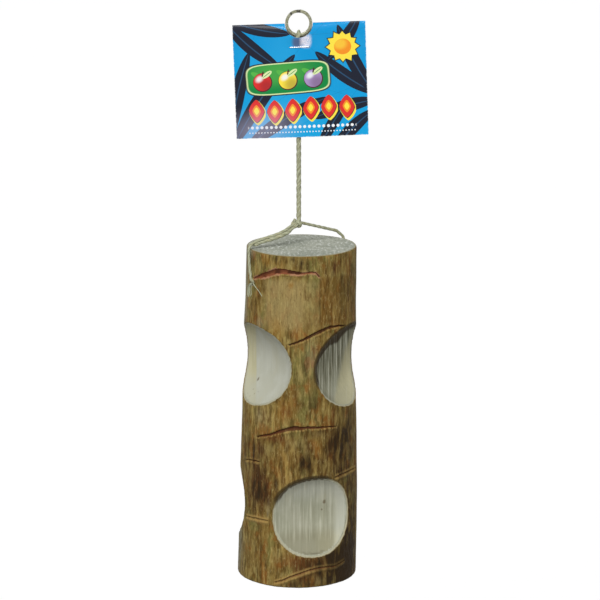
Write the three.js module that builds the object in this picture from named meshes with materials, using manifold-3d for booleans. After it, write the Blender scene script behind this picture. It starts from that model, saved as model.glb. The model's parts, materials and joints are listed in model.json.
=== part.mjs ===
// Hanging wood toy for cage birds: a bark-covered soft-wood log with ground scoops, slung on natural
// twine through a cross hole, gathered in a knot, and hung on a split ring with a folded header card.
// Millimetres and degrees. +Z is up, the card and the ring face -Y, and the origin is the inner crown
// of the ring, where a cage hook bears.
import * as THREE from "three";
import { mergeVertices } from "three/addons/utils/BufferGeometryUtils.js";
import Module from "manifold-3d";

const wasm = await Module();
wasm.setup();

// Fits
const clearance = 0.3;
const windingGap = 0.45;

// Split ring of flat wire in two coils
const ringInnerRadius = 6.6;
const ringWireWidth = 1.9;
const ringWireThickness = 1.1;
const ringWireEdge = 0.28;
const ringJoggleMiddle = 108;
const ringJoggleSpan = 62;
const ringEndRelief = 3;

// Twine: one length, doubled over the ring and twisted into a line
const twineDiameter = 1.6;
const strandGap = 0.5;
const twistPitch = 21.25;
const gatherDrop = 7;
const lineDrop = 119.7;
const bightHalfArc = 58;
const strandTopAngle = 92;

// Knot under the line
const knotTurns = 3;
const bridleStart = 4.9;

// Header card, folded at its top over the line
const cardWidth = 83.5;
const cardHeight = 72;
const cardThickness = 0.4;
const cardTilt = 2;
const cardEdgeGap = 0.5;
const cardFlatHalfWidth = 7;
const cardFoldDepth = 6;
const cardNotchRadius = 8.8;
const cardBulgeWidth = 7;

// Staple through both leaves of the card
const stapleCrown = 12.7;
const stapleWire = 0.6;
const stapleClench = 2.6;
const stapleDrop = 21.4;

// Log
const logDrop = 148.8;
const logHeight = 216.7;
const logTopRadius = 35.35;
const logBottomRadius = 38.45;
const logTopShift = 1.75;
const logBottomShift = -1.15;
const logWaviness = 0.45;
const barkThickness = 1.8;

// Scoops ground across the log by a drum: azimuth from the front towards +X, drop of the middle below
// the top, depth at the middle and height between the upper and lower edges
const scoopUpperDrop = 73.7;
const scoopLowerDrop = 170.2;
const scoopHeight = 52.5;
const scoops = [
  { azimuth: -59.4, drop: scoopUpperDrop - 0.7, depth: 13.6 },
  { azimuth: 64.5, drop: scoopUpperDrop + 1, depth: 12 },
  { azimuth: 182.5, drop: scoopUpperDrop, depth: 12.5 },
  { azimuth: 17, drop: scoopLowerDrop, depth: 9.9 },
  { azimuth: -110, drop: scoopLowerDrop - 3.5, depth: 11 },
  { azimuth: 143, drop: scoopLowerDrop, depth: 11 },
];

// Cross hole for the twine, and where the twine crosses the rim
const holeDiameter = 4.6;
const holeDrop = 20.7;
const holeLeftAzimuth = -60;
const holeRightAzimuth = 124;
const rimLeftAzimuth = -68;
const rimRightAzimuth = 132;
const bridleBend = 3.3;
const bridleStandOff = 1.7;
const rimLeftRise = 2.3;
const rimRightRise = 0.9;
const kinkRadius = 30.3;
const kinkRise = 5.4;
const tailLength = 25;

// Leaf scars: shallow slits in the bark, as azimuth and drop of points along each
const scarWidth = 1.5;
const scarDepth = 0.9;
const scars = [
  [[-54, 15.8], [-40, 11.9], [-22, 8], [3, 10.6], [13, 9.9], [20, 13.1]],
  [[-15, 57], [-2, 54.5], [9, 51.3], [21, 47.9], [33, 46.4]],
  [[-47, 118.6], [-33, 116.8], [-21, 113.6], [-7, 111.4], [2, 110.4], [22, 111.8], [42, 112.4]],
  [[38, 146.1], [51, 143.2], [77, 144.9]],
  [[-62, 174.7], [-43, 172], [-30, 172.5]],
  [[-24, 211.7], [-11, 209.4], [6, 205.5], [26, 203.3], [39, 204.2], [52, 201.5]],
  [[100, 122.2], [118, 119.2], [140, 120.7], [163, 117.2]],
  [[150, 25.2], [172, 21.7], [195, 23.2], [215, 20.2]],
];

const radians = THREE.MathUtils.degToRad;
const smooth = (t) => THREE.MathUtils.smoothstep(t, 0, 1);
const group = new THREE.Group();

// A closed body through rings of points: each ring runs anticlockwise seen from the far end. The ends
// are closed by the given flat triangulation, or by a fan about the ring's middle.
function skin(rings, capFaces) {
  const count = rings[0].length;
  const points = rings.flat();
  const faces = [];
  for (let i = 0; i + 1 < rings.length; i++) {
    for (let j = 0; j < count; j++) {
      const a = i * count + j;
      const b = i * count + ((j + 1) % count);
      faces.push(a, b, b + count, a, b + count, a + count);
    }
  }
  const last = (rings.length - 1) * count;
  if (capFaces) {
    for (const [a, b, c] of capFaces) {
      faces.push(c, b, a);
      faces.push(last + a, last + b, last + c);
    }
  } else {
    const middles = [rings[0], rings[rings.length - 1]].map((ring) =>
      ring.reduce((sum, p) => sum.add(p), new THREE.Vector3()).divideScalar(count),
    );
    const first = points.push(...middles) - 2;
    for (let j = 0; j < count; j++) {
      const next = (j + 1) % count;
      faces.push(first, next, j);
      faces.push(first + 1, last + j, last + next);
    }
  }
  const geometry = new THREE.BufferGeometry().setFromPoints(points);
  geometry.setIndex(faces);
  return geometry;
}

// Rings of a round tube along points, with frames carried along without twist.
function tubeRings(points, radius, sides) {
  const tangents = points.map((p, i) => {
    const before = points[Math.max(i - 1, 0)];
    const after = points[Math.min(i + 1, points.length - 1)];
    return after.clone().sub(before).normalize();
  });
  const start = Math.abs(tangents[0].x) < 0.8 ? new THREE.Vector3(1, 0, 0) : new THREE.Vector3(0, 1, 0);
  let u = start.sub(tangents[0].clone().multiplyScalar(start.dot(tangents[0]))).normalize();
  return points.map((p, i) => {
    if (i > 0) {
      const turn = new THREE.Quaternion().setFromUnitVectors(tangents[i - 1], tangents[i]);
      u = u.clone().applyQuaternion(turn);
    }
    const v = tangents[i].clone().cross(u);
    return Array.from({ length: sides }, (_, k) => {
      const a = (2 * Math.PI * k) / sides;
      return p
        .clone()
        .addScaledVector(u, radius * Math.cos(a))
        .addScaledVector(v, radius * Math.sin(a));
    });
  });
}

// Points along a polyline whose corners are rounded to the given bend radius.
function roundedRoute(corners, bend, arcSteps, straightStep) {
  const route = [corners[0].clone()];
  const runTo = (target) => {
    const from = route[route.length - 1].clone();
    const pieces = Math.max(1, Math.round(from.distanceTo(target) / straightStep));
    for (let k = 1; k <= pieces; k++) route.push(from.clone().lerp(target, k / pieces));
  };
  for (let i = 1; i + 1 < corners.length; i++) {
    const back = corners[i - 1].clone().sub(corners[i]).normalize();
    const ahead = corners[i + 1].clone().sub(corners[i]).normalize();
    const half = back.angleTo(ahead) / 2;
    const reach = bend / Math.tan(half);
    const middle = back.clone().add(ahead).normalize();
    const hub = corners[i].clone().addScaledVector(middle, bend / Math.sin(half));
    const first = corners[i].clone().addScaledVector(back, reach);
    const final = corners[i].clone().addScaledVector(ahead, reach);
    runTo(first);
    const spokeA = first.clone().sub(hub);
    const spokeB = final.clone().sub(hub);
    const sweep = spokeA.angleTo(spokeB);
    for (let k = 1; k <= arcSteps; k++) {
      const t = k / arcSteps;
      const spoke = spokeA
        .clone()
        .multiplyScalar(Math.sin((1 - t) * sweep))
        .addScaledVector(spokeB, Math.sin(t * sweep))
        .divideScalar(Math.sin(sweep));
      route.push(hub.clone().add(spoke));
    }
  }
  runTo(corners[corners.length - 1]);
  return route;
}

// Least gap between stretches of a winding that lie apart along its length, measured on its points.
function leastSelfGap(rings, apart) {
  let least = Infinity;
  for (let i = 0; i < rings.length; i++) {
    for (let j = i + apart; j < rings.length; j++) {
      for (const p of rings[i]) for (const q of rings[j]) least = Math.min(least, p.distanceTo(q));
    }
  }
  return least;
}

// Solids for joins and cuts
function solidOf(geometry) {
  const bare = geometry.clone();
  bare.deleteAttribute("normal");
  bare.deleteAttribute("uv");
  const merged = mergeVertices(bare, 1e-4);
  return new wasm.Manifold(
    new wasm.Mesh({
      numProp: 3,
      vertProperties: new Float32Array(merged.attributes.position.array),
      triVerts: new Uint32Array(merged.index.array),
    }),
  );
}

function geometryOf(solid) {
  const mesh = solid.getMesh();
  const positions = new Float32Array(mesh.numVert * 3);
  for (let i = 0; i < mesh.numVert; i++) {
    const at = i * mesh.numProp;
    positions.set(mesh.vertProperties.subarray(at, at + 3), i * 3);
  }
  const geometry = new THREE.BufferGeometry();
  geometry.setAttribute("position", new THREE.BufferAttribute(positions, 3));
  geometry.setIndex(new THREE.BufferAttribute(new Uint32Array(mesh.triVerts), 1));
  return geometry;
}

function addPiece(parent, name, geometry, color, roughness, metalness) {
  const faceted = geometry.toNonIndexed();
  faceted.computeVertexNormals();
  const mesh = new THREE.Mesh(faceted, new THREE.MeshStandardMaterial({ color, roughness, metalness }));
  mesh.name = name;
  parent.add(mesh);
  return mesh;
}

const twineColor = 0xa9aa8c;
const twineRadius = twineDiameter / 2;

// Split ring: the wire runs a turn in front, crosses over at the joggle and runs a turn behind
const ringCentre = new THREE.Vector3(0, 0, -ringInnerRadius);
const ringWireRadius = ringInnerRadius + ringWireWidth / 2;
const ringCoilOffset = (ringWireThickness + windingGap) / 2;
const ringHalfDepth = ringCoilOffset + ringWireThickness / 2;
const ringOuterRadius = ringInnerRadius + ringWireWidth;
{
  const w = ringWireWidth / 2;
  const h = ringWireThickness / 2;
  const e = ringWireEdge;
  const section = [[w, -h + e], [w, h - e], [w - e, h], [-w + e, h], [-w, h - e], [-w, -h + e], [-w + e, -h], [w - e, -h]];
  const start = ringJoggleMiddle + ringJoggleSpan / 2;
  const coilArc = 360 - ringJoggleSpan;
  const rings = [];
  const station = (angle, offset) => {
    const radial = new THREE.Vector3(Math.cos(radians(angle)), 0, Math.sin(radians(angle)));
    const middle = ringCentre.clone().addScaledVector(radial, ringWireRadius);
    middle.y = offset;
    rings.push(
      section.map(([r, a]) => middle.clone().addScaledVector(radial, r).add(new THREE.Vector3(0, a, 0))),
    );
  };
  const coilSteps = 30;
  const joggleSteps = 10;
  const arc = coilArc - ringEndRelief;
  for (let i = 0; i <= coilSteps; i++) station(start + ringEndRelief + (arc * i) / coilSteps, -ringCoilOffset);
  for (let i = 1; i < joggleSteps; i++) {
    const t = i / joggleSteps;
    station(start + coilArc + ringJoggleSpan * t, ringCoilOffset * (2 * smooth(t) - 1));
  }
  for (let i = 0; i <= coilSteps; i++) station(start + 360 + (arc * i) / coilSteps, ringCoilOffset);
  console.log("split ring, least gap between its coils: " + leastSelfGap(rings, 20).toFixed(2) + " mm");
  addPiece(group, "hang_ring", skin(rings), 0xb9bab2, 0.25, 1);
}

// Twine over the ring's lower wire, and the two twisted strands below it
const wireZ = ringCentre.z - ringWireRadius;
const bightRadius = Math.hypot(ringHalfDepth, ringWireWidth / 2) + clearance + twineRadius;
const strandRadius = (twineDiameter + strandGap) / 2;
const knotZ = wireZ - lineDrop;
const knotPitch = twineDiameter + windingGap;
const knotHeight = knotTurns * knotPitch + twineDiameter;
const knotRadius = strandRadius + twineRadius + clearance + twineRadius;
{
  const steps = 8;
  const points = Array.from({ length: steps + 1 }, (_, i) => {
    const a = radians(-bightHalfArc + (2 * bightHalfArc * i) / steps);
    return new THREE.Vector3(0, bightRadius * Math.sin(a), wireZ + bightRadius * Math.cos(a));
  });
  addPiece(group, "ring_bight", skin(tubeRings(points, twineRadius, 8)), twineColor, 0.9, 0);
}

// How far the strands still lie apart at a drop below the wire, from 1 at the wire to 0 where they meet
const spreadAt = (drop) => 1 - smooth(drop / gatherDrop);
const strandTop = wireZ + bightRadius * Math.cos(radians(strandTopAngle));
const strandBottom = knotZ - knotHeight / 2 + twineRadius;
for (const [name, side] of [["twine_strand_a", -90], ["twine_strand_b", 90]]) {
  const length = strandTop - strandBottom;
  const steps = Math.round(length / 2.4);
  const points = Array.from({ length: steps + 1 }, (_, i) => {
    const z = strandTop - (length * i) / steps;
    const drop = wireZ - z;
    const r = strandRadius + (bightRadius - strandRadius) * spreadAt(drop);
    const a = radians(side - (360 * (strandTop - z)) / twistPitch);
    return new THREE.Vector3(r * Math.cos(a), r * Math.sin(a), z);
  });
  addPiece(group, name, skin(tubeRings(points, twineRadius, 8)), twineColor, 0.9, 0);
}

// Knot: the twine wound round the line
{
  const stepsPerTurn = 20;
  const steps = Math.round(knotTurns * stepsPerTurn);
  const points = Array.from({ length: steps + 1 }, (_, i) => {
    const a = (2 * Math.PI * knotTurns * i) / steps;
    const z = knotZ + knotPitch * knotTurns * (0.5 - i / steps);
    return new THREE.Vector3(-knotRadius * Math.cos(a), -knotRadius * Math.sin(a), z);
  });
  const rings = tubeRings(points, twineRadius, 6);
  console.log("knot, least gap between its turns: " + leastSelfGap(rings, stepsPerTurn / 2).toFixed(2) + " mm");
  addPiece(group, "bridle_knot", skin(rings), twineColor, 0.9, 0);
}

// Header card: two leaves that arch over the line, close at their sides and open at the bottom
const cardGroup = new THREE.Group();
cardGroup.position.copy(ringCentre);
cardGroup.rotation.y = -radians(cardTilt);
group.add(cardGroup);
const cardInnerGap = strandRadius + twineRadius + clearance;
const cardBulge = bightRadius - strandRadius;
// Half of the space between the leaves, at a place across the card and a drop below the fold
function leafGap(x, drop) {
  const out = Math.max(0, Math.abs(x) - cardFlatHalfWidth) / (cardWidth / 2 - cardFlatHalfWidth);
  const flat = Math.cos((Math.min(out, 1) * Math.PI) / 2) ** 2;
  const bulge = cardBulge * Math.exp(-((x / cardBulgeWidth) ** 2));
  const belowWire = drop - (ringCentre.z - wireZ);
  return cardEdgeGap + (cardInnerGap - cardEdgeGap) * flat + bulge * spreadAt(Math.max(0, belowWire * 0.9));
}
const archAt = (t) => Math.sqrt(1 - (1 - Math.min(t, 1)) ** 2);
{
  const foldSteps = [0, 0.02, 0.09, 0.22, 0.45, 1];
  const belowFold = [0.05, 0.1, 0.15, 0.2, 0.26, 0.4, 0.68, 1];
  const columns = 20;
  const rings = [];
  for (let i = 0; i <= columns; i++) {
    const s = (2 * i) / columns - 1;
    const x = (cardWidth / 2) * (0.55 * s + 0.45 * s ** 3);
    const outer = [];
    const inner = [];
    const outerDepth = cardFoldDepth + cardThickness;
    for (const f of foldSteps) {
      outer.push([f * outerDepth, archAt(f) * (leafGap(x, f * outerDepth) + cardThickness)]);
      inner.push([cardThickness + f * cardFoldDepth, archAt(f) * leafGap(x, f * outerDepth)]);
    }
    for (const f of belowFold) {
      const drop = outerDepth + (cardHeight - outerDepth) * f;
      outer.push([drop, leafGap(x, drop) + cardThickness]);
      inner.push([drop, leafGap(x, drop)]);
    }
    const at = (y, drop) => new THREE.Vector3(x, y, -drop);
    const outerBack = outer.map(([drop, gap]) => at(gap, drop)).reverse();
    const outerFront = outer.slice(1).map(([drop, gap]) => at(-gap, drop));
    const innerFront = inner.map(([drop, gap]) => at(-gap, drop)).reverse();
    const innerBack = inner.slice(1).map(([drop, gap]) => at(gap, drop));
    rings.push([...outerBack, ...outerFront, ...innerFront, ...innerBack]);
  }
  const flat = rings[0].map((p) => new THREE.Vector2(p.y, p.z));
  let card = solidOf(skin(rings, THREE.ShapeUtils.triangulateShape(flat, [])));
  const across = 4 * (cardInnerGap + cardBulge + cardThickness);
  card = card.subtract(solidOf(new THREE.CylinderGeometry(cardNotchRadius, cardNotchRadius, across, 64)));
  for (const side of [-1, 1]) {
    const hole = new THREE.CylinderGeometry(stapleWire / 2 + clearance, stapleWire / 2 + clearance, across, 12);
    hole.translate((side * (stapleCrown - stapleWire)) / 2, 0, -stapleDrop - ringCentre.z);
    card = card.subtract(solidOf(hole));
  }
  addPiece(cardGroup, "header_card", geometryOf(card), 0x1f9fd6, 0.2, 0);
}

// Staple: crown in front, legs through both leaves, ends clenched inwards behind
{
  const z = -stapleDrop - ringCentre.z;
  const legX = (stapleCrown - stapleWire) / 2;
  const reach = leafGap(0, -z) + cardThickness + clearance + stapleWire / 2;
  const corners = [
    new THREE.Vector3(-legX + stapleClench, reach + stapleWire * 0.3, z),
    new THREE.Vector3(-legX, reach, z),
    new THREE.Vector3(-legX, -reach, z),
    new THREE.Vector3(legX, -reach, z),
    new THREE.Vector3(legX, reach, z),
    new THREE.Vector3(legX - stapleClench, reach + stapleWire * 0.3, z),
  ];
  const route = roundedRoute(corners, stapleWire * 0.9, 4, 20);
  addPiece(cardGroup, "card_staple", skin(tubeRings(route, stapleWire / 2, 8)), 0xc4c6c8, 0.3, 1);
}

// Log: a tapering, slightly wavy round with its axis leaning a little
const logGroup = new THREE.Group();
logGroup.position.z = -logDrop;
group.add(logGroup);
const axisShift = (drop) => logTopShift + (logBottomShift - logTopShift) * (drop / logHeight);
function barkRadius(azimuth, drop) {
  const t = drop / logHeight;
  const a = radians(azimuth);
  const wave = 0.6 * Math.sin(2 * a + 5 * t + 0.7) + 0.4 * Math.sin(3 * a - 7 * t + 2.1);
  return logTopRadius + (logBottomRadius - logTopRadius) * t + logWaviness * wave;
}
// A point at a distance outside the bark
function onBark(azimuth, drop, out) {
  const r = barkRadius(azimuth, drop) + out;
  const a = radians(azimuth);
  return new THREE.Vector3(axisShift(drop) + r * Math.sin(a), -r * Math.cos(a), -drop);
}
function logForm(inset, overrun) {
  const levels = 9;
  const sides = 48;
  const rings = [];
  for (let i = 0; i <= levels; i++) {
    const drop = logHeight + overrun - ((logHeight + 2 * overrun) * i) / levels;
    rings.push(Array.from({ length: sides }, (_, k) => onBark((360 * k) / sides, drop, -inset)));
  }
  return solidOf(skin(rings));
}
const scoopCutters = scoops.map(({ azimuth, drop, depth }) => {
  const drum = ((scoopHeight / 2) ** 2 + depth ** 2) / (2 * depth);
  const cutter = new THREE.CylinderGeometry(drum, drum, 4 * logBottomRadius, 72);
  cutter.rotateZ(radians(azimuth - 90));
  const hub = onBark(azimuth, drop, drum - depth);
  cutter.translate(hub.x, hub.y, hub.z);
  return solidOf(cutter);
});
const holeLeft = onBark(holeLeftAzimuth, holeDrop, 0);
const holeRight = onBark(holeRightAzimuth, holeDrop, 0);
const holeCutter = (() => {
  const along = holeRight.clone().sub(holeLeft);
  const drill = new THREE.CylinderGeometry(holeDiameter / 2, holeDiameter / 2, along.length() + 20, 16);
  const turn = new THREE.Quaternion().setFromUnitVectors(new THREE.Vector3(0, 1, 0), along.clone().normalize());
  drill.applyQuaternion(turn);
  const middle = holeLeft.clone().lerp(holeRight, 0.5);
  drill.translate(middle.x, middle.y, middle.z);
  return solidOf(drill);
})();
{
  let core = logForm(barkThickness + clearance, 0);
  let bark = logForm(0, 0).subtract(logForm(barkThickness, 1));
  for (const cutter of [...scoopCutters, holeCutter]) {
    core = core.subtract(cutter);
    bark = bark.subtract(cutter);
  }
  for (const scar of scars) {
    const curve = new THREE.CatmullRomCurve3(scar.map(([azimuth, drop]) => onBark(azimuth, drop, 0)));
    const steps = Math.round(curve.getLength() / 4.5);
    const route = curve.getPoints(steps).map((p) => {
      const drop = -p.z;
      const x = p.x - axisShift(drop);
      const azimuth = THREE.MathUtils.radToDeg(Math.atan2(x, -p.y));
      return onBark(azimuth, drop, scarWidth / 2 - scarDepth);
    });
    bark = bark.subtract(solidOf(skin(tubeRings(route, scarWidth / 2, 5))));
  }
  const bodies = bark.decompose().sort((a, b) => b.volume() - a.volume());
  addPiece(logGroup, "wood_core", geometryOf(core), 0xcfc6a6, 0.85, 0);
  addPiece(logGroup, "bark", geometryOf(bodies[0]), 0x7d6740, 0.95, 0);
}

// Bridle: from the knot over the left rim, down the bark, through the cross hole and back over the far rim
const knotAt = new THREE.Vector3(0, 0, knotZ + logDrop);
const leftRim = onBark(rimLeftAzimuth, -rimLeftRise, bridleStandOff);
const kinkTurn = radians(rimRightAzimuth);
const kink = new THREE.Vector3(
  logTopShift + kinkRadius * Math.sin(kinkTurn),
  -kinkRadius * Math.cos(kinkTurn),
  kinkRise,
);
const leftAway = leftRim.clone().sub(knotAt).normalize();
const rightAway = kink.clone().sub(knotAt).normalize();
const legStart = Math.max(bridleStart, knotRadius + twineRadius + clearance * 4);
{
  const throughDrop = holeDrop - 0.3;
  const corners = [
    knotAt.clone().addScaledVector(leftAway, legStart),
    leftRim,
    onBark(holeLeftAzimuth, throughDrop, bridleStandOff),
    onBark(holeRightAzimuth, throughDrop, bridleStandOff),
    onBark(rimRightAzimuth, -rimRightRise, bridleStandOff),
    kink,
    knotAt.clone().addScaledVector(rightAway, legStart),
  ];
  const route = roundedRoute(corners, bridleBend, 6, 3.6);
  addPiece(logGroup, "bridle_twine", skin(tubeRings(route, twineRadius, 8)), twineColor, 0.9, 0);
}

// Tail of the knot, lying under the left leg
{
  const pitch = twineDiameter + windingGap;
  const under = new THREE.Vector3(0, 0, -1);
  under.addScaledVector(leftAway, -under.dot(leftAway)).normalize();
  const steps = Math.round(tailLength / 3);
  const route = Array.from({ length: steps + 1 }, (_, i) => {
    const t = i / steps;
    const sag = 0.7 * Math.sin(Math.PI * t) + 0.5 * t * t;
    return knotAt
      .clone()
      .addScaledVector(leftAway, legStart + tailLength * t)
      .addScaledVector(under, pitch + sag);
  });
  addPiece(logGroup, "knot_tail", skin(tubeRings(route, twineRadius, 8)), twineColor, 0.9, 0);
}

export default group;
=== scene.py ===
import json
import math
import random

import bmesh
import bpy
import numpy as np
from mathutils import Matrix, Quaternion, Vector, noise
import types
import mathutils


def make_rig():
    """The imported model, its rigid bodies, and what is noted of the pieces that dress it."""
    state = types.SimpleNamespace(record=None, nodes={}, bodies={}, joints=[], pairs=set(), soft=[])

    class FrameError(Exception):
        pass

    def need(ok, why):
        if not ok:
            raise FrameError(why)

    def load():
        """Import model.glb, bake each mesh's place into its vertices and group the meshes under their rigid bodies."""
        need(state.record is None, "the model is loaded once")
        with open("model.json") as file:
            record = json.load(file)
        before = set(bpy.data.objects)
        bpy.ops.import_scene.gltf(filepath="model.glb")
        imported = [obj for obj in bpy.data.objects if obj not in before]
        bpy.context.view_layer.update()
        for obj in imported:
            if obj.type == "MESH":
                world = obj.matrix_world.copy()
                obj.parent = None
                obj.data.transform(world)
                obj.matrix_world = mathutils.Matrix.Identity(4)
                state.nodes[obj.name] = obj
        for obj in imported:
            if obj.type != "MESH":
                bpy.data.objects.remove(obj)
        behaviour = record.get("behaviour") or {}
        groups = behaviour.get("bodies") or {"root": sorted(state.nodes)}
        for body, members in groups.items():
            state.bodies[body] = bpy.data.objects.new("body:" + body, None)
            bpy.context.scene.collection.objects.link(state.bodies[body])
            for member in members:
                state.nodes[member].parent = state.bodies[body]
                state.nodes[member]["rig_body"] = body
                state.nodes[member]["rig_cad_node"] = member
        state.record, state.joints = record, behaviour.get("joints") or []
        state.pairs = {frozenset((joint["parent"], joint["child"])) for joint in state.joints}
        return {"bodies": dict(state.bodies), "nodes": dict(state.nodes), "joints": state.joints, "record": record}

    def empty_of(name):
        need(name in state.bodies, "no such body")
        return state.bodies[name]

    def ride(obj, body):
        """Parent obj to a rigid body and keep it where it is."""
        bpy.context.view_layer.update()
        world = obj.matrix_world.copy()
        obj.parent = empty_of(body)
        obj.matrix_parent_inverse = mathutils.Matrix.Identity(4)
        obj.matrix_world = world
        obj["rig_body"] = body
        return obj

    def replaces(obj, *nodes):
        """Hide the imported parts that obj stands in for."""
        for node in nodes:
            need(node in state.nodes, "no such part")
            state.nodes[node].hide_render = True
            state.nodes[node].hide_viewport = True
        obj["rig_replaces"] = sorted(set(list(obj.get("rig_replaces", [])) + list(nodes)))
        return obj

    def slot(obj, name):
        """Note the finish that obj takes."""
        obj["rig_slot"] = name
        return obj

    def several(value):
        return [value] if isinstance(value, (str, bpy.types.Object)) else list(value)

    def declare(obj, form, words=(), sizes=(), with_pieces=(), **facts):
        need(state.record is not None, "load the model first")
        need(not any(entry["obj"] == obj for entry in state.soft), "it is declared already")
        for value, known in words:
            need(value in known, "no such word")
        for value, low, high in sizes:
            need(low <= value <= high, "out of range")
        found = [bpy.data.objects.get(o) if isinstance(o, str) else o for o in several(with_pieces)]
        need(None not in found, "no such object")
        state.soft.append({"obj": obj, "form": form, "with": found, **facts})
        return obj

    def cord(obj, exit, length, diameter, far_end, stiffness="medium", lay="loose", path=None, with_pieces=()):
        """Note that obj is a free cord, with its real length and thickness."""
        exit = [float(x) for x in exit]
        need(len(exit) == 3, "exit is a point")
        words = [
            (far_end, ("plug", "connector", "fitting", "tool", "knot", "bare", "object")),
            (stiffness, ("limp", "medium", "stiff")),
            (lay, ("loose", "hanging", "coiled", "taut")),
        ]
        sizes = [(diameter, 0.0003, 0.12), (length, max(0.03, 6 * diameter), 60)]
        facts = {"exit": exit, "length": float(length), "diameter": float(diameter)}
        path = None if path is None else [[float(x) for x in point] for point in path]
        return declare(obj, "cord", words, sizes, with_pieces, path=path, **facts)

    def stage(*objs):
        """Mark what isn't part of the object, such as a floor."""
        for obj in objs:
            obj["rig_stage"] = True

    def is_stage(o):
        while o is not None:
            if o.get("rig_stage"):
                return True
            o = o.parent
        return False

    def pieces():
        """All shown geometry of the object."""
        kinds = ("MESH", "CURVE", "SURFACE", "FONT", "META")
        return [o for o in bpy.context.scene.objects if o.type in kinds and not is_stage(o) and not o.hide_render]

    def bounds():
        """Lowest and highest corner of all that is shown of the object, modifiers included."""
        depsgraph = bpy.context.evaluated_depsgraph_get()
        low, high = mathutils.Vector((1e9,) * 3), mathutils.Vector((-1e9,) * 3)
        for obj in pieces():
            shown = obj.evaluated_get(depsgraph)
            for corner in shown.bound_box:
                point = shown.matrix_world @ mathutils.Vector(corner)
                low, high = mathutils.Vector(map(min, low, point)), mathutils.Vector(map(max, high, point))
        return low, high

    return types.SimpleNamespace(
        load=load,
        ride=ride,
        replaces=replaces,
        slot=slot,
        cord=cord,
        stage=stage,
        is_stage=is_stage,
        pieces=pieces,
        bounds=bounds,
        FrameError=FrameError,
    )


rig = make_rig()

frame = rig.load()
cadLow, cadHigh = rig.bounds()
scene = bpy.context.scene
scene.view_settings.view_transform = "Standard"
mm = 0.001
draw = random.Random(7)


def wavy(x, y, z):
    return noise.noise(Vector((x, y, z)))


def smooth(t):
    t = min(max(t, 0.0), 1.0)
    return t * t * (3 - 2 * t)


def bell(t):
    return math.exp(-t * t)


def between(value, low, rise, high, fall):  # one from low to high, with soft ends
    return smooth((value - low) / rise) * smooth((high - value) / fall)


def tint(red, green, blue):  # screen colour, 0 to 255, as the linear colour a shader takes
    def linear(c):
        c = c / 255
        return c / 12.92 if c <= 0.04045 else ((c + 0.055) / 1.055) ** 2.4

    return (linear(red), linear(green), linear(blue), 1)


# Node helpers, which fill the node tree begun last
def feed(node, values):  # links or sets the inputs of a node
    for key, value in values.items():
        if isinstance(value, bpy.types.NodeSocket):
            tree.links.new(value, node.inputs[key])
        else:
            node.inputs[key].default_value = value


def add(kind, values=None, **settings):
    made = tree.nodes.new(kind)
    for key, value in settings.items():
        setattr(made, key, value)
    feed(made, values or {})
    return made


def math2(operation, a, b=0.0, c=0.0):
    return add("ShaderNodeMath", {0: a, 1: b, 2: c}, operation=operation).outputs[0]


def over(a, b):  # a times b
    return math2("MULTIPLY", a, b)


def blendColor(amount, a, b):
    return add("ShaderNodeMix", {0: amount, 6: a, 7: b}, data_type="RGBA").outputs[2]


def layTones(color, rows):  # one tone after another over a colour, each by its amount
    for amount, tone in rows:
        color = blendColor(amount, color, tint(*tone))
    return color


def spread(value, low, high, toLow=0.0, toHigh=1.0):  # value from low..high to toLow..toHigh, smoothly
    ends = {"Value": value, "From Min": low, "From Max": high, "To Min": toLow, "To Max": toHigh}
    return add("ShaderNodeMapRange", ends, interpolation_type="SMOOTHSTEP").outputs[0]


def painted(name, kind="Fac"):  # a value or a place that the mesh carries
    return add("ShaderNodeAttribute", attribute_name=name).outputs[kind]


def mask(name, low, high, toLow=0.0, toHigh=1.0):  # a painted value, spread
    return spread(painted(name), low, high, toLow, toHigh)


def objectPlace():
    return add("ShaderNodeTexCoord").outputs["Object"]


def cloudy(vector, scale, detail, roughness=0.5):
    values = {"Vector": vector, "Scale": scale, "Detail": detail, "Roughness": roughness}
    return add("ShaderNodeTexNoise", values).outputs[0]


def newGroup(name, inputs, outputs):
    global tree
    tree = bpy.data.node_groups.new(name, "ShaderNodeTree")
    for label, kind, value in inputs:
        socket = tree.interface.new_socket(label, in_out="INPUT", socket_type=kind)
        if value is not None:
            socket.default_value = value
    for label, kind in outputs:
        tree.interface.new_socket(label, in_out="OUTPUT", socket_type=kind)
    start = tree.nodes.new("NodeGroupInput")
    end = tree.nodes.new("NodeGroupOutput")
    return tree, start.outputs, end.inputs


def floatInputs(**values):
    return [(key, floatKind, value) for key, value in values.items()]


def useGroup(group, values):
    return add("ShaderNodeGroup", values, node_tree=group).outputs


def newFinish(name, values=None):
    global tree
    finish = bpy.data.materials.new(name)
    finish.use_nodes = True
    tree = finish.node_tree
    tree.nodes.clear()
    shader = add("ShaderNodeBsdfPrincipled", values)
    add("ShaderNodeOutputMaterial", {0: shader.outputs[0]})
    return finish, shader


def joinBump(shader, height, depth, strength):
    made = add("ShaderNodeBump", {"Height": height, "Strength": strength, "Distance": depth * mm})
    feed(shader, {"Normal": made.outputs[0]})


# Streaks that run along the grain: cells per metre across and along it
floatKind, vectorKind = "NodeSocketFloat", "NodeSocketVector"
grainInputs = [("Vector", vectorKind, None)] + floatInputs(Across=400.0, Along=20.0, Seed=0.0)
grainGroup, gIn, gOut = newGroup("grainStreaks", grainInputs, [("Streak", floatKind)])
cells = {0: gIn["Across"], 1: gIn["Across"], 2: gIn["Along"]}
cells = add("ShaderNodeCombineXYZ", cells).outputs[0]
scaled = add("ShaderNodeVectorMath", {0: gIn["Vector"], 1: cells}, operation="MULTIPLY").outputs[0]
shifted = add("ShaderNodeVectorMath", {0: scaled, 1: gIn["Seed"]}, operation="ADD").outputs[0]
grainGroup.links.new(cloudy(shifted, 1.0, 3.0, 0.55), gOut["Streak"])


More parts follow.
